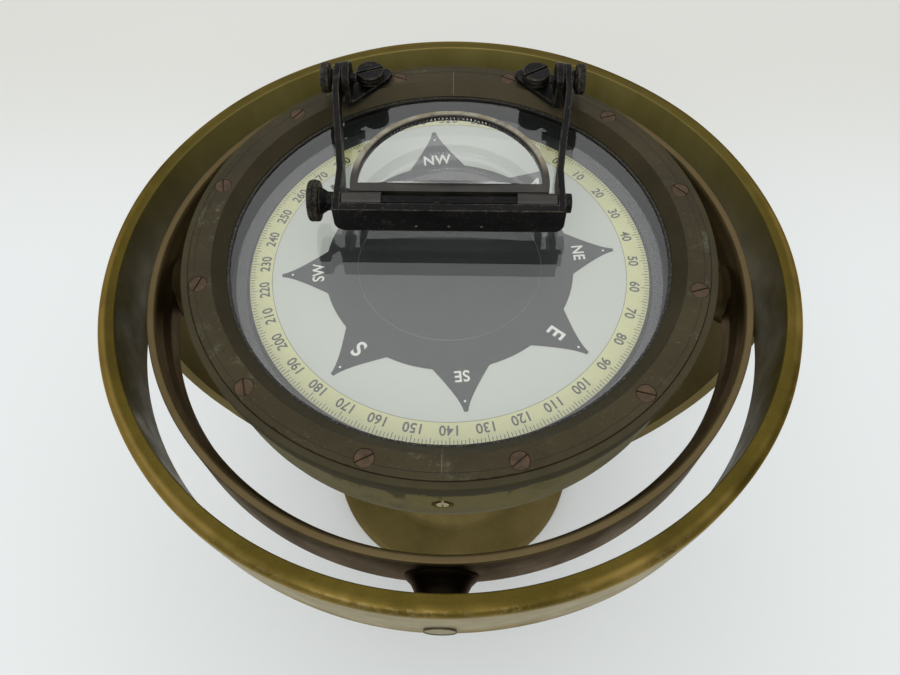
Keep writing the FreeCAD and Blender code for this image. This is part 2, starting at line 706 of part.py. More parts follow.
def build_glazing():
    seat_z = "bezel_top_z - bezel_thickness"
    bezel = turned(
        "bezel_blank",
        [
            ("bezel_bore_radius", seat_z),
            ("bezel_radius", seat_z),
            ("bezel_radius", "bezel_top_z"),
            ("bezel_face_radius", "bezel_top_z"),
            ("bezel_bore_radius", seat_z + " + 0.6"),
        ],
        rounds=[("bezel_radius", "bezel_top_z", "0.6")],
    )
    holes = bezel_screw_holes("bezel_hole", seat_z + " - 1", "10")
    sinks = around(
        "bezel_sink", 12, 15, "bezel_screw_circle",
        lambda label, x, y: rod(label, "Z", "bezel_screw_head", "10", (x, y, "bezel_top_z - 2.4")),
    )
    clamps = clamp_screw_holes("bezel_clamp_hole", seat_z + " - 1", "10")
    node("bezel_ring", cut("bezel", bezel, holes + sinks + clamps))
    screws = around(
        "bezel_screw", 12, 15, "bezel_screw_circle",
        lambda label, x, y: screw(
            label, x, y, "bezel_top_z - 0.1", "bezel_screw_head", "2.3", "bezel_screw_shank", "10"),
    )
    node("bezel_screws", group("bezel_screw_group", screws))
    gasket_z = seat_z + " - gasket_thickness"
    upper = turned("upper_gasket_ring", washer("bezel_bore_radius - 1.3", "glass_radius", gasket_z, seat_z))
    node("upper_gasket", upper)
    glass_z = gasket_z + " - glass_thickness"
    node("cover_glass", rod("glass_disc", "Z", "glass_radius", "glass_thickness", ("0", "0", glass_z)))
    lower = turned(
        "lower_gasket_ring",
        washer("seat_radius", "glass_radius", glass_z + " - seat_thickness", glass_z),
    )
    node("lower_gasket", lower)


def washer(inner, outer, low, high):
    return [(inner, low), (outer, low), (outer, high), (inner, high)]


def build_verge_ring():
    high = "ledge_z + verge_thickness"
    ring = turned("verge_blank", washer("verge_inner_radius", "seat_radius - 0.2", "ledge_z", high))
    node("verge_ring", ring)


# ---------------------------------------------------------------- bowl, inside and below

def build_pivot():
    arm = block(
        "bridge_bar",
        (
            "bridge_half_length + bridge_half_length",
            "bridge_half_width + bridge_half_width",
            "bridge_thickness",
        ),
        ("0 - bridge_half_length", "0 - bridge_half_width", "bridge_z"),
    )
    hub = rod("bridge_hub", "Z", "14", "bridge_thickness", ("0", "0", "bridge_z"))
    holes = [rod("bridge_centre_hole", "Z", "stem_radius - 1.5", "20", ("0", "0", "bridge_z - 5"))]
    screws = []
    for number, side in enumerate((1, -1), start=1):
        x = signed(side, "bridge_half_length - 7")
        holes.append(rod("bridge_hole_%d" % number, "Z", "2.5", "20", (x, "0", "bridge_z - 5")))
        top = "bridge_z + bridge_thickness + 3"
        screws.append(screw("bridge_screw_%d" % number, x, "0", top, "4.5", "3", "2.5", "12"))
    node("pivot_bridge", cut("bridge", fuse("bridge_blank", [arm, hub]), holes))
    node("bridge_screws", group("bridge_screw_group", screws))
    stem_top = "point_z - 6"
    base_z = "bridge_z + bridge_thickness"
    stem = rod("stem_bar", "Z", "stem_radius", less(stem_top, base_z), ("0", "0", base_z))
    tail = rod("stem_tail", "Z", "stem_radius - 1.5", "bridge_thickness + 4", ("0", "0", "bridge_z - 4"))
    socket = rod("stem_socket", "Z", "1.2", "10", ("0", "0", stem_top + " - 6"))
    node("pivot_stem", cut("stem", fuse("stem_blank", [stem, tail]), [socket]))
    shank = rod("point_shank", "Z", "1.2", "9", ("0", "0", stem_top + " - 5"))
    tip = taper("point_tip", "Z", "1.2", "0.2", "2", ("0", "0", "point_z - 2"))
    node("pivot_point", fuse("point", [shank, tip]))


def build_lower_housing():
    top = "bowl_floor_z - 1"
    wall = "housing_radius - housing_wall"
    housing = turned(
        "housing_blank",
        [
            (wall, top),
            ("housing_flange_radius", top),
            ("housing_flange_radius", top + " - flange_thickness"),
            ("housing_radius", top + " - flange_thickness"),
            ("housing_radius", "housing_floor_z"),
            ("6", "housing_floor_z"),
            ("6", "housing_floor_z + housing_wall"),
            (wall, "housing_floor_z + housing_wall"),
        ],
    )
    holes = around(
        "housing_hole", 8, 22.5, "housing_screw_circle",
        lambda label, x, y: rod(label, "Z", "2", "20", (x, y, "bowl_floor_z - 12")),
    )
    cover_threads = around(
        "cover_thread", 6, 0, "housing_radius - 8",
        lambda label, x, y: rod(label, "Z", "1.8", "10", (x, y, "housing_floor_z - 5")),
    )
    node("lower_housing", cut("housing", housing, holes + cover_threads))
    gasket = turned(
        "housing_gasket_ring",
        washer("bowl_mouth_radius", "housing_flange_radius", top, "bowl_floor_z"),
    )
    holes = around(
        "housing_gasket_hole", 8, 22.5, "housing_screw_circle",
        lambda label, x, y: rod(label, "Z", "2", "20", (x, y, "bowl_floor_z - 12")),
    )
    node("housing_gasket", cut("housing_gasket_blank", gasket, holes))
    screws = []
    low = top + " - flange_thickness"
    for number in range(8):
        angle = math.radians(22.5 + 45 * number)
        x = "%.6f" % (size_of("housing_screw_circle") * math.cos(angle))
        y = "%.6f" % (size_of("housing_screw_circle") * math.sin(angle))
        head = rod("housing_screw_head_%d" % (number + 1), "Z", "3.6", "3", (x, y, low + " - 3"))
        shank = rod("housing_screw_shank_%d" % (number + 1), "Z", "2", "10", (x, y, low))
        screws.append(fuse("housing_screw_%d" % (number + 1), [head, shank]))
    node("housing_screws", group("housing_screw_group", screws))


def build_bellows():
    """A closed corrugated capsule that takes up the expansion of the bowl's liquid."""
    outside = []
    inside = []
    for fold in range(int(size_of("bellows_folds"))):
        low = "bellows_z + %.3f" % (size_of("bellows_pitch") * fold)
        middle = "bellows_z + %.3f" % (size_of("bellows_pitch") * (fold + 0.5))
        outside += [("bellows_radius - 8", low), ("bellows_radius", middle)]
        inside += [("bellows_radius - 8 - bellows_skin", low), ("bellows_radius - 1.6", middle)]
    top = "bellows_z + %.3f" % (size_of("bellows_pitch") * size_of("bellows_folds"))
    inside[0] = ("bellows_radius - 8 - bellows_skin", "bellows_z + bellows_skin")
    section = [("0", "bellows_z")] + outside + [("bellows_radius - 8", top), ("0", top)]
    under_top = top + " - bellows_skin"
    section += [("0", under_top), ("bellows_radius - 8 - bellows_skin", under_top)]
    section += list(reversed(inside)) + [("0", "bellows_z + bellows_skin")]
    node("expansion_bellows", turned("bellows_capsule", section))
    low = "housing_floor_z"
    stud = rod("bellows_stud", "Z", "5.9", less("bellows_z", low), ("0", "0", low))
    seat = low + " + housing_wall"
    collar = rod("bellows_collar", "Z", "11", less("bellows_z", seat), ("0", "0", seat))
    node("bellows_nut", fuse("bellows_nut_blank", [stud, collar]))


def build_ballast():
    low = "housing_floor_z"
    ring = rod("ballast_disc", "Z", "ballast_radius", "ballast_height", ("0", "0", low))
    bore = rod("ballast_bore", "Z", "housing_radius", "80", ("0", "0", low + " - 10"))
    node("ballast_ring", cut("ballast", ring, [bore]))
    cover = turned("cover_blank", [
        ("0", low + " - cover_thickness"),
        ("cover_radius", low + " - cover_thickness"),
        ("cover_radius", low),
        ("0", low),
    ], rounds=[("cover_radius", low + " - cover_thickness", "2.5")])
    holes = around(
        "cover_hole", 6, 0, "housing_radius - 8",
        lambda label, x, y: rod(label, "Z", "1.8", "20", (x, y, "housing_floor_z - 15")),
    )
    node("bottom_cover", cut("cover", cover, holes))
    screws = []
    for number in range(6):
        angle = math.radians(60 * number)
        x = "%.6f" % (size_of("housing_radius - 8") * math.cos(angle))
        y = "%.6f" % (size_of("housing_radius - 8") * math.sin(angle))
        under = low + " - cover_thickness"
        head = rod("cover_screw_head_%d" % (number + 1), "Z", "3.4", "2.4", (x, y, under + " - 2.4"))
        name = "cover_screw_shank_%d" % (number + 1)
        shank = rod(name, "Z", "1.8", "cover_thickness + 2.6", (x, y, under))
        screws.append(fuse("cover_screw_%d" % (number + 1), [head, shank]))
    node("bottom_cover_screws", group("cover_screw_group", screws))


# ---------------------------------------------------------------- card

def build_card():
    spot = ("0", "0", "card_top_z - card_thickness")
    node("card_disc", rod("card_plate", "Z", "card_radius", "card_thickness", spot))
    top = "card_top_z - card_thickness"
    float_body = turned(
        "float_blank",
        [
            ("float_well_radius", "float_floor_z"),
            ("float_radius - 10", "float_floor_z"),
            ("float_radius", "float_floor_z + 8"),
            ("float_radius", top),
            ("float_well_radius", top),
        ],
        rounds=[("float_radius", "float_floor_z + 8", "5")],
    )
    node("card_float", float_body)
    cap = turned(
        "cap_blank",
        [
            ("2.6", "point_z - 3"),
            ("float_well_radius", "point_z - 3"),
            ("float_well_radius", top),
            ("0", top),
            ("0", "point_z + 1.6"),
            ("2.6", "point_z + 1.6"),
        ],
    )
    node("jewel_cap", cap)
    jewel = turned(
        "jewel_blank",
        [
            ("0", "point_z + 0.1"),
            ("0.9", "point_z - 0.6"),
            ("2.6", "point_z - 0.6"),
            ("2.6", "point_z + 1.6"),
            ("0", "point_z + 1.6"),
        ],
    )
    node("card_jewel", jewel)
    bars = []
    carriers = []
    for number, side in enumerate((1, -1), start=1):
        y = signed(side, "magnet_spacing")
        start = ("0 - %.2f" % (size_of("magnet_length") / 2), y, "magnet_z")
        bars.append(rod("magnet_%d" % number, "X", "magnet_radius", "magnet_length", start))
    for number, side in enumerate((1, -1), start=1):
        x = "-26" if side < 0 else "20"
        low = "magnet_z - magnet_radius - 1"
        span = "magnet_spacing + magnet_radius + 3"
        rail = block(
            "carrier_rail_%d" % number,
            ("6", span + " + " + span, "float_floor_z - magnet_z + magnet_radius + 1"),
            (x, "0 - magnet_spacing - magnet_radius - 3", low),
        )
        carriers.append(rail)
    tools = [rod("carrier_bore_1", "X", "magnet_radius", "100", ("-50", "magnet_spacing", "magnet_z")),
             rod("carrier_bore_2", "X", "magnet_radius", "100", ("-50", "0 - magnet_spacing", "magnet_z"))]
    frame = cut("carrier", fuse("carrier_rails", carriers), tools)
    node("magnet_carrier", frame)
    node("card_magnets", group("magnet_pair", bars))


# ---------------------------------------------------------------- reading lens

def build_brackets():
    plate_points = [
        ("lug_outer_x", "hinge_y - lug_radius"),
        ("lug_outer_x", "hinge_y + lug_radius"),
        ("48.4", "109.5"),
        ("39", "113.5"),
        ("32.5", "113.5"),
        ("34.5", "105.5"),
        ("50.4", "88"),
        ("lug_inner_x", "hinge_y - lug_radius"),
    ]
    plate = slab(
        "bracket_plate", "top", plate_points, "plate_thickness", start="bezel_top_z",
        corners=[("39", "113.5"), ("32.5", "113.5"), ("34.5", "105.5"), ("48.4", "109.5")], corner_radius="3",
    )
    width = "lug_outer_x - lug_inner_x"
    wall = block(
        "bracket_wall", (width, "lug_radius + lug_radius", "hinge_z - bezel_top_z"),
        ("lug_inner_x", "hinge_y - lug_radius", "bezel_top_z"),
    )
    crown = rod("bracket_crown", "X", "lug_radius", width, ("lug_inner_x", "hinge_y", "hinge_z"))
    bore = "thumb_shank_radius + pin_clearance"
    hole = rod("bracket_pivot_hole", "X", bore, "20", ("lug_inner_x - 5", "hinge_y", "hinge_z"))
    spot = ("clamp_x", "clamp_y", "bezel_top_z - 5")
    clamp = rod("bracket_clamp_hole", "Z", "clamp_shank_radius", "20", spot)
    right = cut("bracket", fuse("bracket_blank", [plate, wall, crown]), [hole, clamp])
    node("right_bracket", right)
    node("left_bracket", mirrored("bracket_mirror", right))
    top = "bezel_top_z + plate_thickness + clamp_head_height"
    screws = [
        screw("clamp_screw_1", "clamp_x", "clamp_y", top, "clamp_head_radius", "clamp_head_height",
              "clamp_shank_radius", "plate_thickness + 12"),
        screw("clamp_screw_2", "0 - clamp_x", "clamp_y", top, "clamp_head_radius", "clamp_head_height",
              "clamp_shank_radius", "plate_thickness + 12"),
    ]
    node("bracket_screws", group("clamp_screw_group", screws))


def build_thumbscrews():
    shank = rod("thumb_shank", "X", "thumb_shank_radius", "12", ("lug_inner_x - 3", "hinge_y", "hinge_z"))
    neck = taper("thumb_neck", "X", "4.2", "5.6", "2.6", ("arm_outer_x + 0.3", "hinge_y", "hinge_z"))
    head = rod("thumb_head", "X", "thumb_radius", "4.6", ("arm_outer_x + 2.9", "hinge_y", "hinge_z"))
    right = fuse("thumbscrew", [shank, neck, head])
    node("right_thumbscrew", right)
    node("left_thumbscrew", mirrored("thumbscrew_mirror", right))


def build_lens_bracket():
    strap = slab(
        "arm_strap", "side",
        [
            ("bar_front_y", "bar_foot_z"),
            ("18", "bar_foot_z + 2"),
            ("30", "bar_foot_z + 5.5"),
            ("hinge_y", "hinge_z - arm_eye_radius + 1"),
            ("hinge_y", "hinge_z + arm_eye_radius - 1"),
            ("30", "bar_foot_z + bar_height + 2"),
            ("18", "bar_foot_z + bar_height + 1"),
            ("bar_front_y", "bar_foot_z + bar_height"),
        ],
        "30", start="arm_outer_x - 20",
    )
    eye = rod("arm_eye", "X", "arm_eye_radius", "30", ("arm_outer_x - 20", "hinge_y", "hinge_z"))
    profile = fuse("arm_profile", [strap, eye])
    inner = "arm_outer_x - arm_thickness"
    plan = slab(
        "arm_plan", "top",
        [
            ("bar_half_length - arm_thickness", "bar_front_y"),
            ("bar_half_length", "bar_front_y"),
            ("bar_half_length", "28"),
            ("arm_outer_x", "80"),
            ("arm_outer_x", "hinge_y + arm_eye_radius + 1"),
            (inner, "hinge_y + arm_eye_radius + 1"),
            (inner, "80"),
            ("bar_half_length - arm_thickness", "28"),
        ],
        "40", start="bar_foot_z - 5",
    )
    right = common("arm", profile, plan)
    left = mirrored("arm_mirror", right)
    bar = block(
        "front_bar", ("bar_half_length + bar_half_length", "bar_thickness", "bar_height"),
        ("0 - bar_half_length", "bar_front_y", "bar_foot_z"),
    )
    corner_spot = ("bar_half_length - bar_corner", "bar_front_y", "bar_foot_z")
    square = block("bar_corner_square", ("bar_corner", "12", "bar_corner"), corner_spot)
    round_spot = ("bar_half_length - bar_corner", "bar_front_y", "bar_foot_z + bar_corner")
    corner = cut("bar_corner_waste", square, [rod("bar_corner_round", "Y", "bar_corner", "12", round_spot)])
    waste = [corner, mirrored("bar_corner_waste_mirror", corner)]
    spot = ("-100", "shaft_y", "shaft_z")
    shaft_bore = rod("arm_shaft_bore", "X", "shaft_radius + pin_clearance", "200", spot)
    bore = "thumb_shank_radius + pin_clearance"
    hinge_bore = rod("arm_hinge_bore", "X", bore, "200", ("-100", "hinge_y", "hinge_z"))
    blank = fuse("lens_bracket_blank", [bar, right, left])
    bracket = cut("lens_bracket_body", blank, [shaft_bore, hinge_bore] + waste)
    node("lens_bracket", bracket)


def build_lens_frame():
    floor = "frame_floor_z"
    disc = rod("frame_disc", "Z", "frame_radius", "frame_height", ("0", "frame_centre_y", floor))
    bore_radius = "frame_radius - frame_rim_width"
    bore = rod("frame_bore", "Z", bore_radius, "frame_height", ("0", "frame_centre_y", floor))
    front_limit = block(
        "frame_limit", ("frame_radius + frame_radius", "frame_radius + frame_radius", "frame_height"),
        ("0 - frame_radius", "frame_front_y", floor),
    )
    solid = common("frame_solid", disc, front_limit)
    opening_limit = block(
        "frame_opening_limit",
        ("frame_radius + frame_radius", "frame_radius + frame_radius", "frame_height"),
        ("0 - frame_radius", "frame_front_y + frame_bar_width", floor),
    )
    opening = common("frame_opening", bore, opening_limit)
    rim = cut("frame_rim", solid, [opening])
    barrels = []
    for number, side in enumerate((1, -1), start=1):
        start = "barrel_inner_x" if side > 0 else "0 - barrel_outer_x"
        length = "barrel_outer_x - barrel_inner_x"
        spot = (start, "shaft_y", "shaft_z")
        barrels.append(rod("barrel_%d" % number, "X", "barrel_radius", length, spot))
        web_start = "barrel_inner_x" if side > 0 else "0 - barrel_outer_x + 8"
        barrels.append(block(
            "barrel_web_%d" % number,
            ("barrel_outer_x - barrel_inner_x - 8", "frame_front_y + 2 - shaft_y", "3"),
            (web_start, "shaft_y", "frame_floor_z"),
        ))
    spot = ("-100", "shaft_y", "shaft_z")
    shaft = rod("frame_shaft_bore", "X", "shaft_radius + pin_clearance", "200", spot)
    node("lens_frame", cut("lens_frame_body", fuse("lens_frame_blank", [rim] + barrels), [shaft]))


def build_lens():
    """A double-convex lens, cut straight along the frame's bar."""
    radius = size_of("frame_radius - frame_rim_width")
    crown = size_of("lens_crown")
    ball = (radius ** 2 + crown ** 2) / (2 * crown)
    middle = size_of("frame_floor_z") + size_of("frame_height") / 2
    half_edge = size_of("lens_edge_thickness") / 2
    centre_y = size_of("frame_centre_y")
    upper = Part.makeSphere(ball, Vector(0, centre_y, middle + half_edge + crown - ball))
    lower = Part.makeSphere(ball, Vector(0, centre_y, middle - half_edge - crown + ball))
    depth = 2 * (half_edge + crown)
    blank = Part.makeCylinder(radius, depth, Vector(0, centre_y, middle - depth / 2))
    front = size_of("frame_front_y + frame_bar_width")
    keep = Part.makeBox(2 * radius, 2 * radius, depth, Vector(-radius, front, middle - depth / 2))
    lens = doc.addObject("Part::Feature", "lens")
    lens.Shape = blank.common(keep).common(upper).common(lower)
    node("magnifier_lens", lens)


def build_lens_shaft():
    start = "0 - bar_half_length - 0.3"
    length = "bar_half_length + bar_half_length + 3.5"
    node("lens_shaft", rod("shaft_bar", "X", "shaft_radius", length, (start, "shaft_y", "shaft_z")))
    neck = taper("knob_neck", "X", "6.8", "4.2", "6", ("0 - bar_half_length - 6.3", "shaft_y", "shaft_z"))
    head = rod("knob_head", "X", "knob_radius", "5.2", ("0 - bar_half_length - 11.5", "shaft_y", "shaft_z"))
    node("lens_knob", fuse("knob", [neck, head]))
    collar = rod("collar_blank", "X", "4.4", "2.6", ("bar_half_length + 0.3", "shaft_y", "shaft_z"))
    bore = rod("collar_bore", "X", "shaft_radius", "20", ("bar_half_length - 5", "shaft_y", "shaft_z"))
    node("shaft_collar", cut("collar", collar, [bore]))


# ---------------------------------------------------------------- whole object

def check_and_write():
    doc.recompute()
    for item in doc.Objects:
        broken = [word for word in item.State if word in ("Invalid", "Error")]
        if broken:
            raise RuntimeError("%s is %s" % (item.Label, broken[0]))
    os.makedirs("parts", exist_ok=True)
    for piece in nodes:
        if piece.Shape.isNull() or not piece.Shape.isValid() or not piece.Shape.Solids:
            raise RuntimeError("%s has no valid solid" % piece.Label)
    for piece in nodes:
        piece.Shape.exportStep("parts/%s.step" % piece.Label)


build_foot()
build_yoke()
build_stand_screws()
build_outer_ring()
build_gimbal()
build_bowl()
build_trunnion_bushes()
build_filler_plug()
build_glazing()
build_verge_ring()
build_pivot()
build_lower_housing()
build_bellows()
build_ballast()
build_card()
build_brackets()
build_thumbscrews()
build_lens_bracket()
build_lens_frame()
build_lens()
build_lens_shaft()
check_and_write()
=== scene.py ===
"""Looks of the gimballed ship's compass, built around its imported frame.

Lengths are in metres, but outlines given to rounded() and the sizes listed below are in millimetres.
"""

import json
import math
import random

import bmesh
import bpy
from mathutils import Matrix, Vector


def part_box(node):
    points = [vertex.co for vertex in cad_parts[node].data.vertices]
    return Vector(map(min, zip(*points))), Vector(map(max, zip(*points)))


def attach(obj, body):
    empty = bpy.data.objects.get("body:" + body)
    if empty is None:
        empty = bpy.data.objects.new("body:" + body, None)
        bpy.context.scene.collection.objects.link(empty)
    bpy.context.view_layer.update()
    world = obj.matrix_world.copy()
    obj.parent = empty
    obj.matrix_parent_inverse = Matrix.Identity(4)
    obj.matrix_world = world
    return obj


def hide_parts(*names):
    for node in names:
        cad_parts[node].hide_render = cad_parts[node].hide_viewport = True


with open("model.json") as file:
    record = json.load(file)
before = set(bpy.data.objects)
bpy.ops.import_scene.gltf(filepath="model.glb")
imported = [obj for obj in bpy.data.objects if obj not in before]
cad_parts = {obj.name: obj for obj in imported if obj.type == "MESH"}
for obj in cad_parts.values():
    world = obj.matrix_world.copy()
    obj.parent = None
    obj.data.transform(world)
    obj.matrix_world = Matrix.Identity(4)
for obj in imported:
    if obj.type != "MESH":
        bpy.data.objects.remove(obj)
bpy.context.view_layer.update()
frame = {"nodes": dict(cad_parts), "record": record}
random.seed(15)
MM = 0.001


# ---------------------------------------------------------------- places read from the frame

def low(node):
    return Vector(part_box(node)[0])


def high(node):
    return Vector(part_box(node)[1])


AXIS_Z = (low("bowl_pivot_pins").z + high("bowl_pivot_pins").z) / 2
RING_R = high("outer_ring").x
RING_TOP = high("outer_ring").z
RING_FOOT = low("outer_ring").z
GIMBAL_TOP = high("gimbal_ring").z
BEZEL_TOP = high("bezel_ring").z
BEZEL_R = high("bezel_ring").x
GLASS_TOP = high("cover_glass").z
RIM_TOP = high("compass_bowl").z
RIM_R = high("compass_bowl").x
CARD_TOP = high("card_disc").z
CARD_R = high("card_disc").x
SHAFT = (low("lens_shaft") + high("lens_shaft")) / 2
HINGE = (low("right_thumbscrew") + high("right_thumbscrew")) / 2

# Sizes that the frame's boxes don't show, in millimetres.
RING_BORE = 155
GIMBAL_OUTSIDE = 143
GIMBAL_HEIGHT = 32
GIMBAL_BEAD = 135.9
BOWL_WALL = 117.5
BOWL_FLOOR_R = 60
BEND_CENTRE = (77.5, 230)
SCREW_CIRCLE = 113.4
BEZEL_FACE_INSIDE = 107.6
BEZEL_STEP = 114.9
PACKING_EDGE = 101.55
SCALE_INSIDE = 84.6
NUMBERS_R = 88.1
ROSE_BODY = 59.5
ROSE_TIP = 80.0
ROSE_LETTERS_R = 62.5
ROSE_HOLES_R = 75.0

# The cover glass mirrors more strongly than bare glass, and the lens bends light less than real glass
# does. Both were set by comparing the render with the photo.
COVER_MIRROR_GAIN = 1.7
COVER_INSIDE_MIRROR = 0.085
LENS_INDEX = 1.40


# ---------------------------------------------------------------- shader helpers

class Nodes:
    """A material's node tree, with one short call per node."""

    def __init__(self, name):
        self.material = bpy.data.materials.new(name)
        self.material.use_nodes = True
        self.tree = self.material.node_tree
        self.surface = self.tree.nodes["Principled BSDF"]
        self.place = self.add("ShaderNodeTexCoord").outputs["Object"]

    def add(self, kind, inputs=None, **settings):
        node = self.tree.nodes.new(kind)
        for key, value in settings.items():
            setattr(node, key, value)
        for key, value in (inputs or {}).items():
            self.feed(node.inputs[key], value)
        return node

    def feed(self, socket, value):
        if isinstance(value, bpy.types.NodeSocket):
            self.tree.links.new(value, socket)
        else:
            socket.default_value = value

    def shade(self, **inputs):
        for key, value in inputs.items():
            self.feed(self.surface.inputs[key.replace("_", " ")], value)

    def noise(self, scale, detail=4.0, roughness=0.6, stretch=(1, 1, 1)):
        mapping = self.add("ShaderNodeMapping", {"Vector": self.place, "Scale": stretch})
        settings = {"Vector": mapping.outputs[0], "Scale": scale, "Detail": detail, "Roughness": roughness}
        return self.add("ShaderNodeTexNoise", settings).outputs["Fac"]

    def ramp(self, factor, *stops):
        """Stops are (position, colour); a number stands for a grey."""
        node = self.add("ShaderNodeValToRGB", {"Fac": factor})
        points = node.color_ramp.elements
        while len(points) < len(stops):
            points.new(0.5)
        for point, (position, colour) in zip(points, stops):
            point.position = position
            point.color = (*colour, 1) if isinstance(colour, tuple) else (colour, colour, colour, 1)
        return node.outputs["Color"]

    def mix(self, factor, first, second):
        node = self.add("ShaderNodeMix", data_type="RGBA")
        self.feed(node.inputs["Factor"], factor)
        for socket, value in ((node.inputs[6], first), (node.inputs[7], second)):
            self.feed(socket, (*value, 1) if isinstance(value, tuple) else value)
        return node.outputs[2]

    def math(self, operation, first, second=0.0):
        node = self.add("ShaderNodeMath", operation=operation)
        self.feed(node.inputs[0], first)
        self.feed(node.inputs[1], second)
        return node.outputs[0]

    def span(self, value, start, end):
        """0 before start, 1 after end, smooth between; start may be the larger."""
        node = self.add("ShaderNodeMapRange", interpolation_type="SMOOTHSTEP")
        for key, number in (("Value", value), ("From Min", start), ("From Max", end)):
            self.feed(node.inputs[key], number)
        return node.outputs[0]

    def axes(self):
        parts = self.add("ShaderNodeSeparateXYZ", {"Vector": self.place})
        return parts.outputs["X"], parts.outputs["Y"], parts.outputs["Z"]

    def radius(self):
        x, y, _ = self.axes()
        squares = self.math("ADD", self.math("MULTIPLY", x, x), self.math("MULTIPLY", y, y))
        return self.math("SQRT", squares)

    def bump(self, height, strength=0.2, distance=0.0005):
        settings = {"Height": height, "Strength": strength, "Distance": distance}
        self.feed(self.surface.inputs["Normal"], self.add("ShaderNodeBump", settings).outputs[0])


def bronze(name, dark, middle, bright, metallic=0.85, rough=(0.32, 0.55), grain=22.0, speck=0.5):
    """Aged bronze with a cloudy tone and fine pits. It returns the tree, so more layers can be added."""
    nodes = Nodes(name)
    cloud = nodes.noise(grain, 6.0, 0.62)
    colour = nodes.ramp(cloud, (0.28, dark), (0.52, middle), (0.78, bright))
    fine = nodes.noise(900.0, 3.0, 0.7)
    colour = nodes.mix(nodes.math("MULTIPLY", nodes.span(fine, 0.56, 0.74), speck), colour, bright)
    pits = nodes.noise(420.0, 3.0, 0.5)
    colour = nodes.mix(nodes.math("MULTIPLY", nodes.span(pits, 0.62, 0.75), 0.6), colour, dark)
    smear = nodes.noise(60.0, 4.0, 0.6)
    nodes.colour = colour
    nodes.smear = smear
    nodes.shade(Base_Color=colour, Metallic=metallic)
    nodes.shade(Roughness=nodes.ramp(smear, (0.3, rough[0]), (0.7, rough[1])))
    nodes.bump(nodes.math("ADD", fine, pits), 0.12, 0.0002)
    return nodes


def ring_bronze():
    """Gold-brown bronze: a painted highlight on the crown, pale on the outside face, olive on the inside
    wall with painted shade at the front and painted light at the back, and painted shade over the back of
    the ring.
    """
    nodes = bronze("aged_ring_bronze", (0.052, 0.039, 0.008), (0.086, 0.063, 0.011), (0.140, 0.100, 0.024))
    radius = nodes.radius()
    _, y, z = nodes.axes()
    outward = nodes.math("SUBTRACT", radius, RING_R - 5.2 * MM)
    upward = nodes.math("SUBTRACT", z, RING_TOP - 6.5 * MM)
    # Painted highlight: the crown, the rounded top outer edge, is painted bright gold in patches.
    patchy = nodes.span(nodes.noise(11.0, 4.0, 0.6), 0.36, 0.62)
    crown = nodes.math("MULTIPLY", nodes.span(outward, 0.0, 2.2 * MM), nodes.span(upward, 0.0, 2.6 * MM))
    colour = nodes.mix(nodes.math("MULTIPLY", crown, patchy), nodes.colour, (0.27, 0.185, 0.050))
    outermost = nodes.span(outward, 2.2 * MM, 3.6 * MM)
    edge = nodes.math("MULTIPLY", outermost, nodes.span(upward, 0.6 * MM, 2.4 * MM))
    speckle = nodes.span(nodes.noise(330.0, 5.0, 0.8), 0.45, 0.58)
    spots = nodes.span(nodes.noise(16.0, 5.0, 0.7), 0.50, 0.60)
    rubbed = nodes.math("MULTIPLY", nodes.math("MULTIPLY", edge, speckle), spots)
    colour = nodes.mix(nodes.math("MULTIPLY", rubbed, 0.25), colour, (0.40, 0.29, 0.14))
    side = nodes.span(z, RING_TOP - 1.6 * MM, RING_TOP - 5.5 * MM)
    face = nodes.math("MULTIPLY", nodes.span(outward, 3.0 * MM, 4.4 * MM), side)
    brushed = nodes.noise(9.0, 5.0, 0.7, stretch=(1, 1, 30))
    pale = nodes.mix(brushed, (0.16, 0.142, 0.085), (0.35, 0.32, 0.225))
    colour = nodes.mix(nodes.math("MULTIPLY", face, 0.95), colour, pale)
    # Painted shade: toward the back the ring is blended to a darker olive, without the painted crown
    # highlight.
    behind = nodes.span(y, -20 * MM, 150 * MM)
    colour = nodes.mix(nodes.math("MULTIPLY", behind, 0.55), colour, (0.095, 0.080, 0.030))
    # The inside wall carries painted light: dark olive at the front as painted shade, lighter gold-olive at
    # the back as painted light.
    inner = nodes.span(radius, RING_R - 7.9 * MM, RING_R - 8.4 * MM)
    drips = nodes.noise(26.0, 5.0, 0.65, stretch=(1, 1, 0.25))
    shaded = nodes.ramp(drips, (0.3, (0.040, 0.031, 0.005)), (0.7, (0.085, 0.066, 0.012)))
    painted_lit_wall = nodes.ramp(drips, (0.3, (0.17, 0.140, 0.038)), (0.7, (0.27, 0.225, 0.072)))
    wall = nodes.mix(behind, shaded, painted_lit_wall)
    colour = nodes.mix(inner, colour, wall)
    dull = nodes.math("MAXIMUM", nodes.math("MULTIPLY", face, 0.5), nodes.math("MULTIPLY", inner, 0.75))
    nodes.shade(Base_Color=colour, Specular_Tint=(0.85, 0.62, 0.22, 1))
    nodes.shade(Metallic=nodes.math("SUBTRACT", 0.85, dull))
    return nodes.material


def stand_bronze():
    tones = ((0.085, 0.065, 0.02), (0.13, 0.10, 0.033), (0.18, 0.14, 0.055))
    nodes = bronze("aged_stand_bronze", *tones, 0.4, (0.4, 0.62))
    nodes.shade(Base_Color=nodes.colour, Specular_Tint=(0.8, 0.62, 0.3, 1))
    return nodes.material


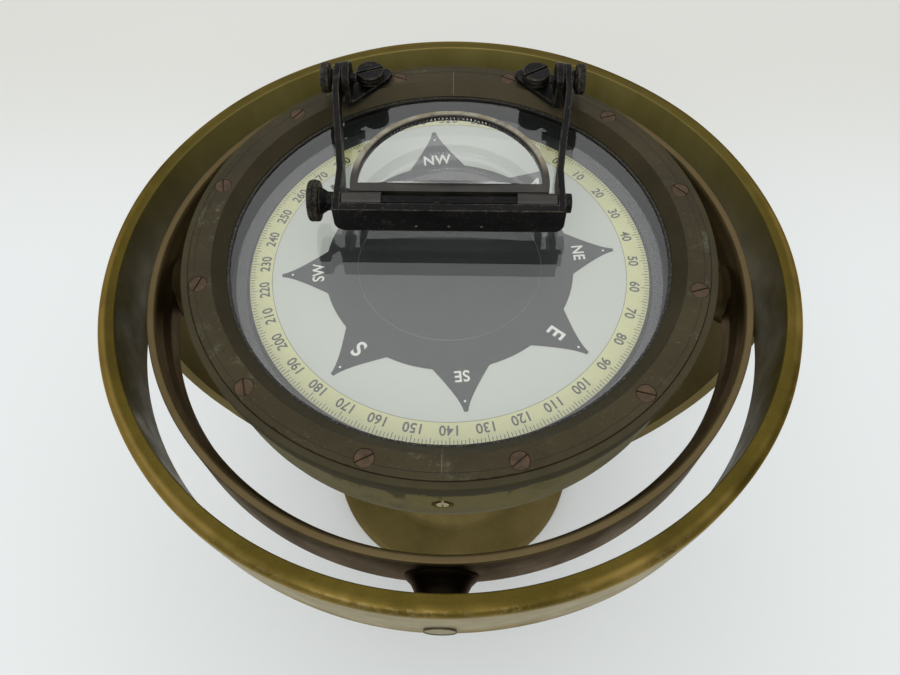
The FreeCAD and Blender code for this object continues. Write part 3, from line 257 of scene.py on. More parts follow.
def gimbal_bronze():
    """Brown bronze with a painted highlight along the top edge, and painted shade on the outside face and
    on the bosses.
    """
    tones = ((0.020, 0.014, 0.006), (0.042, 0.030, 0.013), (0.075, 0.054, 0.025))
    nodes = bronze("aged_gimbal_bronze", *tones, 0.6, (0.36, 0.52))
    radius = nodes.radius()
    _, _, z = nodes.axes()
    # Painted highlight: the top edge is painted lighter brown, where light catches the rounded rim.
    top = nodes.math("MULTIPLY", nodes.span(z, GIMBAL_TOP - 3 * MM, GIMBAL_TOP - 1 * MM), 0.65)
    light = nodes.mix(nodes.smear, (0.09, 0.067, 0.030), (0.21, 0.155, 0.075))
    colour = nodes.mix(top, nodes.colour, light)
    # Painted shade: the outside face below the top, in the gap to the outer ring, is painted near black.
    below = nodes.span(z, GIMBAL_TOP - 2.5 * MM, GIMBAL_TOP - 5 * MM)
    outside = nodes.math("MULTIPLY", nodes.span(radius, 142.2 * MM, 142.8 * MM), below)
    colour = nodes.mix(nodes.math("MULTIPLY", outside, 0.75), colour, (0.012, 0.009, 0.005))
    # Painted shadow: the flared bosses between the gimbal ring and the outer ring are painted almost black.
    boss = nodes.span(radius, 143.4 * MM, 144.6 * MM)
    colour = nodes.mix(nodes.math("MULTIPLY", boss, 0.9), colour, (0.004, 0.003, 0.002))
    nodes.shade(Base_Color=colour, Specular_Tint=(0.75, 0.55, 0.3, 1), Specular_IOR_Level=0.18)
    return nodes.material


def bezel_bronze():
    """Dark bronze with green-grey patina on the flat face, scuffs, and a browner bevel."""
    tones = ((0.019, 0.014, 0.007), (0.034, 0.026, 0.013), (0.052, 0.042, 0.022))
    nodes = bronze("dark_bezel_bronze", *tones, 0.2, (0.40, 0.58), 30.0, 0.35)
    radius = nodes.radius()
    blotch = nodes.span(nodes.noise(70.0, 8.0, 0.78), 0.54, 0.68)
    region = nodes.span(nodes.noise(8.0, 3.0, 0.6), 0.46, 0.60)
    patina = nodes.math("MULTIPLY", nodes.math("MULTIPLY", blotch, region), 0.8)
    flat = nodes.span(radius, BEZEL_R - 11 * MM, BEZEL_R - 10 * MM)
    colour = nodes.mix(nodes.math("MULTIPLY", patina, flat), nodes.colour, (0.12, 0.14, 0.09))
    scuffs = nodes.span(nodes.noise(600.0, 4.0, 0.8), 0.60, 0.70)
    colour = nodes.mix(nodes.math("MULTIPLY", scuffs, 0.5), colour, (0.115, 0.11, 0.08))
    bevel = nodes.span(radius, BEZEL_R - 10.2 * MM, BEZEL_R - 10.8 * MM)
    colour = nodes.mix(nodes.math("MULTIPLY", bevel, 0.5), colour, (0.033, 0.027, 0.013))
    nodes.shade(Base_Color=colour, Specular_IOR_Level=0.3, Specular_Tint=(1.0, 0.9, 0.65, 1))
    return nodes.material


def bowl_paint():
    """Thin greenish paint with pale bare patches and runs; brown on the rim, grey inside."""
    tones = ((0.036, 0.034, 0.008), (0.070, 0.064, 0.016), (0.11, 0.098, 0.030))
    nodes = bronze("worn_bowl_paint", *tones, 0.2, (0.5, 0.7))
    radius = nodes.radius()
    _, _, z = nodes.axes()
    below = nodes.math("SUBTRACT", RIM_TOP - 13 * MM, z)
    wave = nodes.math("SUBTRACT", nodes.noise(24.0, 6.0, 0.7, stretch=(1, 1, 0.3)), 0.5)
    run = nodes.math("ADD", nodes.math("MULTIPLY", below, 30.0), nodes.math("MULTIPLY", wave, 3.4))
    pale = nodes.mix(nodes.smear, (0.10, 0.082, 0.022), (0.23, 0.188, 0.068))
    colour = nodes.mix(nodes.span(run, 0.0, 0.22), nodes.colour, pale)
    green = nodes.math("MULTIPLY", nodes.span(nodes.noise(38.0, 6.0, 0.75), 0.50, 0.72), 0.7)
    colour = nodes.mix(green, colour, (0.060, 0.068, 0.014))
    rim = nodes.span(z, RIM_TOP - 10 * MM, RIM_TOP - 8.5 * MM)
    brown = nodes.mix(nodes.smear, (0.032, 0.026, 0.013), (0.062, 0.053, 0.027))
    colour = nodes.mix(rim, colour, brown)
    deep = nodes.span(z, CARD_TOP - 14 * MM, CARD_TOP - 12 * MM)
    inside = nodes.math("MULTIPLY", nodes.span(radius, BEZEL_R - 9.2 * MM, BEZEL_R - 9.6 * MM), deep)
    colour = nodes.mix(inside, colour, (0.024, 0.027, 0.026))
    nodes.shade(Base_Color=colour, Metallic=0.0, Specular_IOR_Level=0.08)
    return nodes.material


def plain(name, colour, metallic=0.0, roughness=0.5, grain=None, tone=0.7):
    """One colour; with a grain it is clouded by the same colour times tone."""
    nodes = Nodes(name)
    nodes.shade(Metallic=metallic, Roughness=roughness)
    if grain:
        darker = tuple(part * tone for part in colour)
        cloud = nodes.noise(grain, 5.0, 0.65)
        nodes.shade(Base_Color=nodes.ramp(cloud, (0.35, darker), (0.65, colour)))
    else:
        nodes.shade(Base_Color=(*colour, 1))
    return nodes.material


def black_japan():
    """Black baked finish, rubbed brown and grey where hands touch it."""
    nodes = Nodes("worn_black_japan")
    cloud = nodes.noise(45.0, 5.0, 0.6)
    base = nodes.ramp(cloud, (0.35, (0.0008, 0.0008, 0.001)), (0.75, (0.006, 0.0055, 0.005)))
    rub = nodes.span(nodes.noise(120.0, 6.0, 0.7), 0.57, 0.70)
    colour = nodes.mix(nodes.math("MULTIPLY", rub, 0.55), base, (0.050, 0.040, 0.026))
    fleck = nodes.span(nodes.noise(900.0, 2.0, 0.5), 0.66, 0.72)
    colour = nodes.mix(nodes.math("MULTIPLY", fleck, 0.5), colour, (0.11, 0.10, 0.085))
    cornered = nodes.add("ShaderNodeBevel", {"Radius": 0.9 * MM}).outputs[0]
    flat = nodes.add("ShaderNodeNewGeometry").outputs["Normal"]
    compare = nodes.add("ShaderNodeVectorMath", {0: cornered, 1: flat}, operation="DOT_PRODUCT")
    corner = nodes.span(compare.outputs["Value"], 0.995, 0.94)
    edge = nodes.math("MULTIPLY", corner, nodes.span(nodes.noise(300.0, 5.0, 0.7), 0.36, 0.60))
    colour = nodes.mix(nodes.math("MULTIPLY", edge, 0.8), colour, (0.11, 0.094, 0.066))
    nodes.shade(Base_Color=colour, Metallic=0.1, Specular_IOR_Level=0.12)
    nodes.shade(Roughness=nodes.ramp(nodes.noise(80.0, 4.0, 0.6), (0.3, 0.28), (0.7, 0.5)))
    nodes.bump(nodes.noise(260.0, 4.0, 0.6), 0.15, 0.0004)
    return nodes.material


def lens_frame_metal():
    """Blackened brass, rubbed cream and gold along the frame's round outer edge."""
    nodes = Nodes("worn_lens_frame")
    x, y, z = nodes.axes()
    wall = 3.4 * MM
    centre_y = high("lens_frame").y - (high("magnifier_lens").x + wall)
    across = nodes.math("SUBTRACT", y, centre_y)
    squares = nodes.math("ADD", nodes.math("MULTIPLY", x, x), nodes.math("MULTIPLY", across, across))
    radius = nodes.math("SQRT", squares)
    cloud = nodes.noise(60.0, 5.0, 0.6)
    base = nodes.ramp(cloud, (0.35, (0.007, 0.006, 0.004)), (0.7, (0.032, 0.026, 0.017)))
    lens_r = high("magnifier_lens").x
    edge = nodes.span(radius, lens_r + 0.4 * MM, lens_r + 1.3 * MM)
    back = nodes.span(across, 2 * MM, 14 * MM)
    top = nodes.span(z, high("lens_frame").z - 2.4 * MM, high("lens_frame").z - 0.6 * MM)
    patchy = nodes.span(nodes.noise(90.0, 5.0, 0.7), 0.22, 0.44)
    rub = nodes.math("MULTIPLY", nodes.math("MULTIPLY", edge, back), nodes.math("MULTIPLY", top, patchy))
    gilt = nodes.span(nodes.noise(150.0, 4.0, 0.6), 0.4, 0.6)
    cream = nodes.mix(gilt, (0.78, 0.73, 0.55), (0.55, 0.46, 0.27))
    nodes.shade(Base_Color=nodes.mix(rub, base, cream), Metallic=0.1, Roughness=0.42)
    return nodes.material


def clear(name, ior, bends=True):
    """Glass that lets the lamps' light through to what lies below; it may mirror without bending."""
    nodes = Nodes(name)
    nodes.shade(Base_Color=(1, 1, 1, 1), Roughness=0.0, IOR=ior, Transmission_Weight=1.0)
    path = nodes.add("ShaderNodeLightPath")
    through = nodes.add("ShaderNodeBsdfTransparent", {"Color": (1, 1, 1, 1)})
    output = nodes.tree.nodes["Material Output"]
    if bends:
        glass = nodes.surface.outputs[0]
    else:
        shine = nodes.add("ShaderNodeBsdfGlossy", {"Roughness": 0.0})
        fresnel = nodes.add("ShaderNodeFresnel", {"IOR": ior}).outputs[0]
        outside = nodes.math("MULTIPLY", fresnel, COVER_MIRROR_GAIN)
        inside = nodes.add("ShaderNodeNewGeometry").outputs["Backfacing"]
        faces = {"Factor": inside, "A": outside, "B": COVER_INSIDE_MIRROR}
        mirrored = nodes.add("ShaderNodeMix", faces).outputs[0]
        shaders = {0: mirrored, 1: through.outputs[0], 2: shine.outputs[0]}
        glass = nodes.add("ShaderNodeMixShader", shaders).outputs[0]
    shadow = nodes.math("MAXIMUM", path.outputs["Is Shadow Ray"], path.outputs["Is Diffuse Ray"])
    final = nodes.add("ShaderNodeMixShader", {0: shadow, 1: glass, 2: through.outputs[0]})
    nodes.tree.links.new(final.outputs[0], output.inputs["Surface"])
    return nodes.material


MATERIALS = {
    "ring_bronze": ring_bronze(),
    "stand_bronze": stand_bronze(),
    "gimbal_bronze": gimbal_bronze(),
    "bezel_bronze": bezel_bronze(),
    "bowl_paint": bowl_paint(),
    "black_japan": black_japan(),
    "frame_metal": lens_frame_metal(),
    "worn_brass": plain("worn_brass", (0.42, 0.33, 0.15), 0.9, 0.3, 80.0),
    "screw_copper": plain("coppery_screw", (0.085, 0.048, 0.020), 0.2, 0.7, 260.0, 0.45),
    "packing": plain("black_packing", (0.012, 0.011, 0.008), 0.0, 0.7),
    "grey_paint": plain("grey_paint", (0.035, 0.040, 0.039), 0.0, 0.55, 90.0, 0.9),
    "card_enamel": plain("card_enamel", (0.45, 0.485, 0.425), 0.0, 0.5),
    "float_metal": plain("float_paint", (0.6, 0.6, 0.57), 0.2, 0.4),
    "steel": plain("steel", (0.42, 0.42, 0.43), 1.0, 0.3),
    "jewel": plain("jewel", (0.4, 0.03, 0.05), 0.0, 0.08),
    "lead": plain("ballast_metal", (0.13, 0.13, 0.135), 0.6, 0.6, 70.0),
    "glass": clear("cover_glass", 1.5, bends=False),
}
LENS_GLASS = clear("lens_glass", LENS_INDEX)
SCALE_YELLOW = plain("scale_yellow", (0.53, 0.54, 0.27), 0.0, 0.5, 120.0, 0.94)
INK = plain("card_ink", (0.03, 0.032, 0.03), 0.0, 0.5)
ROSE = plain("rose_ink", (0.006, 0.0075, 0.007), 0.0, 0.5)
ROSE_WHITE = plain("rose_lettering", (0.62, 0.65, 0.58), 0.0, 0.5)
# The rib's grey, lighter than the star's ink, is partly a painted highlight on the raised rib.
RIB = plain("rose_rib", (0.045, 0.05, 0.048), 0.0, 0.25)
STIPPLE = plain("packing_stipple", (0.085, 0.08, 0.05), 0.0, 0.6)
# Near black, for the painted shade of the step round the bezel's face.
STEP_SHADE = plain("step_line_shade", (0.01, 0.008, 0.006), 0.2, 0.7)
SEAM = plain("plug_seam", (0.05, 0.042, 0.02), 0.2, 0.6)
LINE = plain("engraved_line", (0.11, 0.092, 0.052), 0.2, 0.5)

for entry in frame["record"]["subparts"]:
    shape = frame["nodes"][entry["node"]]
    shape.data.materials.clear()
    shape.data.materials.append(MATERIALS[entry["material_slot"]])
SLOT_OF = {entry["node"]: entry["material_slot"] for entry in frame["record"]["subparts"]}
BODIES = frame["record"]["behaviour"]["bodies"]
BODY_OF = {node: body for body, members in BODIES.items() for node in members}


# ---------------------------------------------------------------- mesh helpers

def linked(name, data):
    shape = bpy.data.objects.new(name, data)
    bpy.context.scene.collection.objects.link(shape)
    return shape


def piece(name, verts, faces, node, material=None, stands_for=True, angle=35):
    """A mesh that rides with the node's body; it hides the node if it stands for it."""
    mesh = bpy.data.meshes.new(name)
    mesh.from_pydata([tuple(v) for v in verts], [], faces)
    cleaner = bmesh.new()
    cleaner.from_mesh(mesh)
    bmesh.ops.recalc_face_normals(cleaner, faces=cleaner.faces)
    cleaner.to_mesh(mesh)
    cleaner.free()
    mesh.shade_smooth()
    mesh.set_sharp_from_angle(angle=math.radians(angle))
    shape = linked(name, mesh)
    mesh.materials.append(material or MATERIALS[SLOT_OF[node]])
    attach(shape, BODY_OF[node])
    if stands_for:
        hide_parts(node)
    return shape


def rounded(corners, steps=6):
    """Turns (r, z, radius) corners, in millimetres, into a closed outline with arcs."""
    points = []
    count = len(corners)
    for index, (r, z, radius) in enumerate(corners):
        here = Vector((r, z))
        before = Vector(corners[index - 1][:2]) - here
        after = Vector(corners[(index + 1) % count][:2]) - here
        if radius <= 0:
            points.append(here)
            continue
        half = before.angle(after) / 2
        reach = min(radius / math.tan(half), before.length * 0.49, after.length * 0.49)
        start = here + before.normalized() * reach
        end = here + after.normalized() * reach
        for step in range(steps + 1):
            share = step / steps
            points.append(start.lerp(here, share).lerp(here.lerp(end, share), share))
    return [(point.x * MM, point.y * MM) for point in points]


def lathe(outline, turn=None, segments=240):
    """Vertices and faces of a closed (radius, height) outline turned about Z, then moved by turn."""
    verts = []
    faces = []
    count = len(outline)
    for step in range(segments):
        angle = 2 * math.pi * step / segments
        for radius, height in outline:
            verts.append(Vector((radius * math.cos(angle), radius * math.sin(angle), height)))
    for step in range(segments):
        following = (step + 1) % segments
        for index in range(count):
            second = (index + 1) % count
            faces.append((
                step * count + index, following * count + index,
                following * count + second, step * count + second,
            ))
    if turn:
        verts = [turn @ vert for vert in verts]
    return verts, faces


def joined(*parts):
    verts = []
    faces = []
    for part_verts, part_faces in parts:
        shift = len(verts)
        verts += part_verts
        faces += [tuple(index + shift for index in face) for face in part_faces]
    return verts, faces


def prism(outline, bottom, top, turn=None):
    """A closed polygon of (x, y) points, drawn out from bottom to top."""
    count = len(outline)
    verts = [Vector((x, y, bottom)) for x, y in outline] + [Vector((x, y, top)) for x, y in outline]
    faces = [tuple(range(count)), tuple(range(count, 2 * count))]
    for index in range(count):
        second = (index + 1) % count
        faces.append((index, second, second + count, index + count))
    if turn:
        verts = [turn @ vert for vert in verts]
    return verts, faces


def about(axis, x, y, z):
    """Turns the Z axis to the given axis and moves the result to a place."""
    turns = {
        "+X": Matrix.Rotation(math.pi / 2, 4, "Y"), "-X": Matrix.Rotation(-math.pi / 2, 4, "Y"),
        "+Y": Matrix.Rotation(-math.pi / 2, 4, "X"), "-Y": Matrix.Rotation(math.pi / 2, 4, "X"),
        "+Z": Matrix.Identity(4),
    }
    return Matrix.Translation((x, y, z)) @ turns[axis]


def softened(node, width):
    """A copy of a CAD node with every sharp edge broken by a small round; the copy hides the node."""
    mesh = frame["nodes"][node].data.copy()
    edit = bmesh.new()
    edit.from_mesh(mesh)
    bmesh.ops.remove_doubles(edit, verts=edit.verts, dist=0.002 * MM)
    flat = math.radians(0.5)
    bmesh.ops.dissolve_limit(edit, angle_limit=flat, verts=edit.verts, edges=edit.edges)
    edit.to_mesh(mesh)
    edit.free()
    shape = linked(node + "_worn", mesh)
    mesh.shade_smooth()
    sharp = math.radians(40)
    bevel = shape.modifiers.new("edges", "BEVEL")
    bevel.width = width
    bevel.segments = 2
    bevel.limit_method = "ANGLE"
    bevel.angle_limit = sharp
    bevel.harden_normals = False
    mesh.set_sharp_from_angle(angle=sharp)
    mesh.materials.clear()
    mesh.materials.append(MATERIALS[SLOT_OF[node]])
    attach(shape, BODY_OF[node])
    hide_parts(node)
    return shape


# ---------------------------------------------------------------- stand

def build_ring():
    """The outer ring, with an outside that is a little out of round."""
    foot = RING_FOOT / MM
    top = RING_TOP / MM
    outer = RING_R / MM
    outline = rounded([
        (RING_BORE, foot, 1.0), (outer - 1.4, foot, 2.5), (outer - 0.05, top - 12, 20),
        (outer - 0.05, top, 4.4), (RING_BORE, top, 0.9),
    ])
    verts, faces = lathe(outline, segments=360)
    for vert in verts:
        angle = math.atan2(vert.y, vert.x)
        dent = 0.12 * MM * (math.sin(5 * angle) + math.sin(11 * angle + 1.0)) - 0.24 * MM
        on_outside = Vector((vert.x, vert.y)).length > 160 * MM
        if on_outside:
            vert.x += dent * math.cos(angle)
            vert.y += dent * math.sin(angle)
    piece("ring_turned", verts, faces, "outer_ring")


def build_plugs():
    """The flush ends of the fore-and-aft pivots, seen as faint rings on the outer ring."""
    parts = []
    for side, axis in ((1, "+Y"), (-1, "-Y")):
        start = side * (RING_R - 0.5 * MM)
        seam = [(6.42, -0.4, 0), (6.58, -0.4, 0), (6.58, 0.40, 0.02), (6.42, 0.40, 0.02)]
        outline = rounded(seam, 2)
        parts.append(lathe(outline, about(axis, 0, start, AXIS_Z), 64))
    verts, faces = joined(*parts)
    piece("pivot_plug_seams", verts, faces, "gimbal_pivot_pins", SEAM, stands_for=False)


# ---------------------------------------------------------------- gimbal ring

def build_gimbal():
    """The gimbal ring with two flared bosses outside, fore and aft, and two inside for the bowl."""
    top = GIMBAL_TOP / MM
    foot = top - GIMBAL_HEIGHT
    rim = rounded([
        (GIMBAL_OUTSIDE, top, 0.7), (139.4, top, 2.0), (138.0, top - 8, 3.0), (GIMBAL_BEAD, top - 13, 5.0),
        (GIMBAL_BEAD, foot + 8, 5.0), (138.4, foot, 2.2), (GIMBAL_OUTSIDE, foot, 2.2),
    ])
    parts = [lathe(rim, segments=360)]
    flare = [
        (0, 0, 0), (15.2, 0, 0), (12.4, 2.6, 4), (10.6, 6, 6), (10.5, 10.6, 1.2), (7.0, 10.8, 0),
        (0, 10.8, 0),
    ]
    for axis, side in (("+Y", 1), ("-Y", -1)):
        parts.append(lathe(rounded(flare), about(axis, 0, side * 142.9 * MM, AXIS_Z), 72))
    inner = [(0, 0, 0), (15.0, 0, 0), (12.6, 3.0, 4), (10.6, 7, 6), (10.5, 13.7, 1.2), (0, 13.7, 0)]
    for axis, side in (("-X", 1), ("+X", -1)):
        parts.append(lathe(rounded(inner), about(axis, side * 136.5 * MM, 0, AXIS_Z), 72))
    verts, faces = joined(*parts)
    piece("gimbal_turned", verts, faces, "gimbal_ring")


def build_pin_heads():
    parts = []
    tall = (high("bowl_pivot_pins").x - GIMBAL_OUTSIDE * MM) / MM
    outline = rounded([(0, -2, 0), (7.4, -2, 0), (7.4, tall, 1.6), (0, tall, 0)])
    for axis, side in (("+X", 1), ("-X", -1)):
        parts.append(lathe(outline, about(axis, side * GIMBAL_OUTSIDE * MM, 0, AXIS_Z), 64))
    verts, faces = joined(*parts)
    piece("bowl_pin_heads", verts, faces, "bowl_pivot_pins")


# ---------------------------------------------------------------- bowl

def bend(radius):
    """The quarter round from the bowl's floor to its wall, in millimetres."""
    r, z = BEND_CENTRE
    steps = 20
    angles = [math.radians(-90 + 90 * step / steps) for step in range(steps + 1)]
    return [(r + radius * math.cos(angle), z + radius * math.sin(angle), 0) for angle in angles]


def build_bowl():
    rim = RIM_TOP / MM
    rim_r = RIM_R / MM
    outline = rounded([
        (BOWL_FLOOR_R, 187, 0), *bend(40), (BOWL_WALL, rim - 16, 1.5), (118.6, rim - 15, 0.4),
        (118.6, rim - 11, 0.4), (120.2, rim - 10.6, 0.4), (120.2, rim - 5.2, 0.6), (rim_r, rim - 4.6, 0.5),
        (rim_r, rim, 0.9), (118.15, rim, 0.2), (118.15, 257.7, 0), (108.7, 257.7, 0), (108.7, 250.8, 0),
        (104.2, 250.8, 0), (104.2, 240, 0), (101.5, 240, 0), (101.5, 236, 0), (112.5, 231, 0),
        *reversed(bend(35)), (BOWL_FLOOR_R, 192, 0),
    ])
    parts = [lathe(outline, segments=360)]
    boss = rounded([(0, 0, 0), (12, 0, 0), (12, 9, 1.5), (0, 9, 0)])
    for axis, side in (("+X", 1), ("-X", -1)):
        parts.append(lathe(boss, about(axis, side * 112 * MM, 0, AXIS_Z), 64))
    verts, faces = joined(*parts)
    drill_filler_hole(piece("bowl_turned", verts, faces, "compass_bowl"))


def drill_filler_hole(bowl):
    """Cuts the round hole in which the filler plug sits out of the bowl's wall."""
    plug = (low("filler_plug") + high("filler_plug")) / 2
    hole_r = 4.6 * MM
    outline = [(0, -16 * MM), (hole_r, -16 * MM), (hole_r, 12 * MM), (0, 12 * MM)]
    verts, faces = lathe(outline, about("-Y", 0, low("filler_plug").y - 6 * MM, plug.z), 48)
    mesh = bpy.data.meshes.new("filler_drill")
    mesh.from_pydata([tuple(v) for v in verts], [], faces)
    drill = linked("filler_drill", mesh)
    fresh = bmesh.new()
    fresh.from_mesh(mesh)
    bmesh.ops.remove_doubles(fresh, verts=fresh.verts, dist=0.001 * MM)
    bmesh.ops.recalc_face_normals(fresh, faces=fresh.faces)
    fresh.to_mesh(mesh)
    fresh.free()
    drilling = bowl.modifiers.new("filler_hole", "BOOLEAN")
    drilling.object = drill
    drilling.operation = "DIFFERENCE"
    graph = bpy.context.evaluated_depsgraph_get()
    drilled = bpy.data.meshes.new_from_object(bowl.evaluated_get(graph))
    bowl.modifiers.clear()
    bowl.data = drilled
    bpy.data.objects.remove(drill)


def build_packing_dots():
    """The stippled edge of the packing, along the bezel's inner edge."""
    parts = []
    count = 620
    for number in range(count):
        if random.random() < 0.4:
            continue
        angle = 2 * math.pi * (number + random.random() * 0.6) / count
        size = random.uniform(0.12, 0.30) * MM
        radius = (PACKING_EDGE + random.uniform(-0.35, 0.35)) * MM
        spot = (radius * math.cos(angle), radius * math.sin(angle), GLASS_TOP + 0.7 * MM)
        turn = Matrix.Translation(spot) @ Matrix.Rotation(angle, 4, "Z")
        outline = [(-size, -size), (size, -size), (size, size), (-size, size)]
        parts.append(prism(outline, -0.2 * MM, 0.25 * MM, turn))
    verts, faces = joined(*parts)
    piece("packing_stipple", verts, faces, "upper_gasket", STIPPLE, stands_for=False, angle=20)


def build_lubber_lines():
    """The engraved fore-and-aft lines on the bezel's face and bevel, and a line of painted shade for the
    step round it.
    """
    parts = []
    half = 0.14 * MM
    lift = 0.12 * MM
    foot_z = low("bezel_ring").z + 0.6 * MM
    face_z = BEZEL_TOP - 0.08 * MM
    for side in (1, -1):
        steps = [
            (BEZEL_R - 2.8 * MM, face_z), (BEZEL_FACE_INSIDE * MM, face_z), (102.6 * MM, foot_z + 0.4 * MM),
        ]
        verts = []
        for reach, z in steps:
            verts += [Vector((-half, side * reach, z + lift)), Vector((half, side * reach, z + lift))]
        parts.append((verts, [(0, 1, 3, 2), (2, 3, 5, 4)]))
    verts, faces = joined(*parts)
    piece("lubber_lines", verts, faces, "bezel_ring", LINE, stands_for=False)
    # Painted shade: a near-black line stands for the shade in the step round the bezel's face.
    groove = BEZEL_STEP * MM
    verts, faces = ring_band(groove - 0.10 * MM, groove + 0.10 * MM, BEZEL_TOP + 0.08 * MM)
    piece("bezel_step_line", verts, faces, "bezel_ring", STEP_SHADE, stands_for=False)


def slotted_head(radius, height, slot_width, slot_depth, turn):
    """Two half-round lands on a disc, with the slot between them; Z is out of the head."""
    parts = []
    steps = 28
    half_slot = slot_width / 2
    start = math.asin(half_slot / radius)
    for flip in (0, math.pi):
        arc = []
        for step in range(steps + 1):
            angle = start + (math.pi - 2 * start) * step / steps + flip
            arc.append((radius * math.cos(angle), radius * math.sin(angle)))
        inner = [(x * 0.93, y * 0.93 if abs(y) > half_slot * 1.1 else y) for x, y in arc]
        count = len(arc)
        verts = [Vector((x, y, height - slot_depth)) for x, y in arc]
        verts += [Vector((x, y, height - radius * 0.07)) for x, y in arc]
        verts += [Vector((x, y, height)) for x, y in inner]
        faces = []
        for layer in (0, count):
            for index in range(count - 1):
                start_of_top = layer + count + index
                faces.append((layer + index, layer + index + 1, start_of_top + 1, start_of_top))
            faces.append((layer + count - 1, layer, layer + count, layer + 2 * count - 1))
        faces.append(tuple(range(2 * count, 3 * count)))
        parts.append(([turn @ vert for vert in verts], faces))
    outline = [(0, 0), (radius, 0), (radius, height - slot_depth), (0, height - slot_depth)]
    parts.append(lathe(outline, turn, 56))
    return joined(*parts)


def build_bezel_screws():
    parts = []
    centre = SCREW_CIRCLE * MM
    for number in range(12):
        angle = math.radians(15 + 30 * number)
        spot = (centre * math.cos(angle), centre * math.sin(angle), BEZEL_TOP - 2.3 * MM)
        turn = Matrix.Translation(spot) @ Matrix.Rotation(random.uniform(0, math.pi), 4, "Z")
        parts.append(slotted_head(3.95 * MM, 2.4 * MM, 0.75 * MM, 0.9 * MM, turn))
    verts, faces = joined(*parts)
    piece("bezel_screw_heads", verts, faces, "bezel_screws", angle=25)


# ---------------------------------------------------------------- card

CARD_HEADING = 38.5


def polar(bearing, radius):
    """A place on the card: bearings run clockwise from north, seen from above."""
    angle = math.radians(90 - bearing - CARD_HEADING)
    return Vector((radius * math.cos(angle), radius * math.sin(angle)))


def ring_band(inner, outer, z):
    """A flat band round the Z axis."""
    segments = 360
    verts = []
    faces = []
    for step in range(segments):
        angle = 2 * math.pi * step / segments
        for radius in (inner, outer):
            verts.append(Vector((radius * math.cos(angle), radius * math.sin(angle), z)))
        following = (step + 1) % segments
        faces.append((2 * step, 2 * step + 1, 2 * following + 1, 2 * following))
    return verts, faces


def lettering(text, height, bearing, radius, z, widen):
    """Flat lettering with its top outward, centred at a bearing and radius; widen below 1 narrows it."""
    curve = bpy.data.curves.new("text_" + text, "FONT")
    curve.body = text
    curve.align_x = "CENTER"
    curve.align_y = "CENTER"
    capital_share = 0.70
    stroke_gain = 0.020
    curve.size = height / capital_share
    curve.offset = curve.size * stroke_gain
    curve.space_character = 1.04
    shape = linked("text_" + text, curve)
    graph = bpy.context.evaluated_depsgraph_get()
    mesh = bpy.data.meshes.new_from_object(shape.evaluated_get(graph))
    spot = polar(bearing, radius)
    turn = Matrix.Translation((spot.x, spot.y, z))
    turn = turn @ Matrix.Rotation(math.radians(-bearing - CARD_HEADING), 4, "Z")
    turn = turn @ Matrix.Diagonal((widen, 1, 1, 1))
    verts = [turn @ vert.co for vert in mesh.vertices]
    faces = [tuple(face.vertices) for face in mesh.polygons]
    bpy.data.objects.remove(shape)
    bpy.data.meshes.remove(mesh)
    return verts, faces


def build_card_markings():
    lift = CARD_TOP + 0.06 * MM
    step = 0.05 * MM
    scale_inner = SCALE_INSIDE * MM
    verts, faces = ring_band(scale_inner, CARD_R - 0.1 * MM, lift)
    piece("card_scale_band", verts, faces, "card_disc", SCALE_YELLOW, stands_for=False)
    parts = [ring_band(scale_inner - 0.10 * MM, scale_inner + 0.10 * MM, lift + step)]
    for degree in range(360):
        length = 3.6 if degree % 10 == 0 else 3.0 if degree % 5 == 0 else 2.1
        half = 0.16 * MM
        outward = polar(degree, 1.0)
        across = Vector((-outward.y, outward.x))
        rim = CARD_R - 0.25 * MM
        start = outward * rim
        end = outward * (rim - length * MM)
        corners = (start + across * half, start - across * half, end - across * half, end + across * half)
        parts.append(([Vector((c.x, c.y, lift + step)) for c in corners], [(0, 1, 2, 3)]))
    for degree in range(0, 360, 10):
        parts.append(lettering(str(degree), 4.5 * MM, degree, NUMBERS_R * MM, lift + step, 0.92))
    verts, faces = joined(*parts)
    piece("card_scale_marks", verts, faces, "card_disc", INK, stands_for=False)


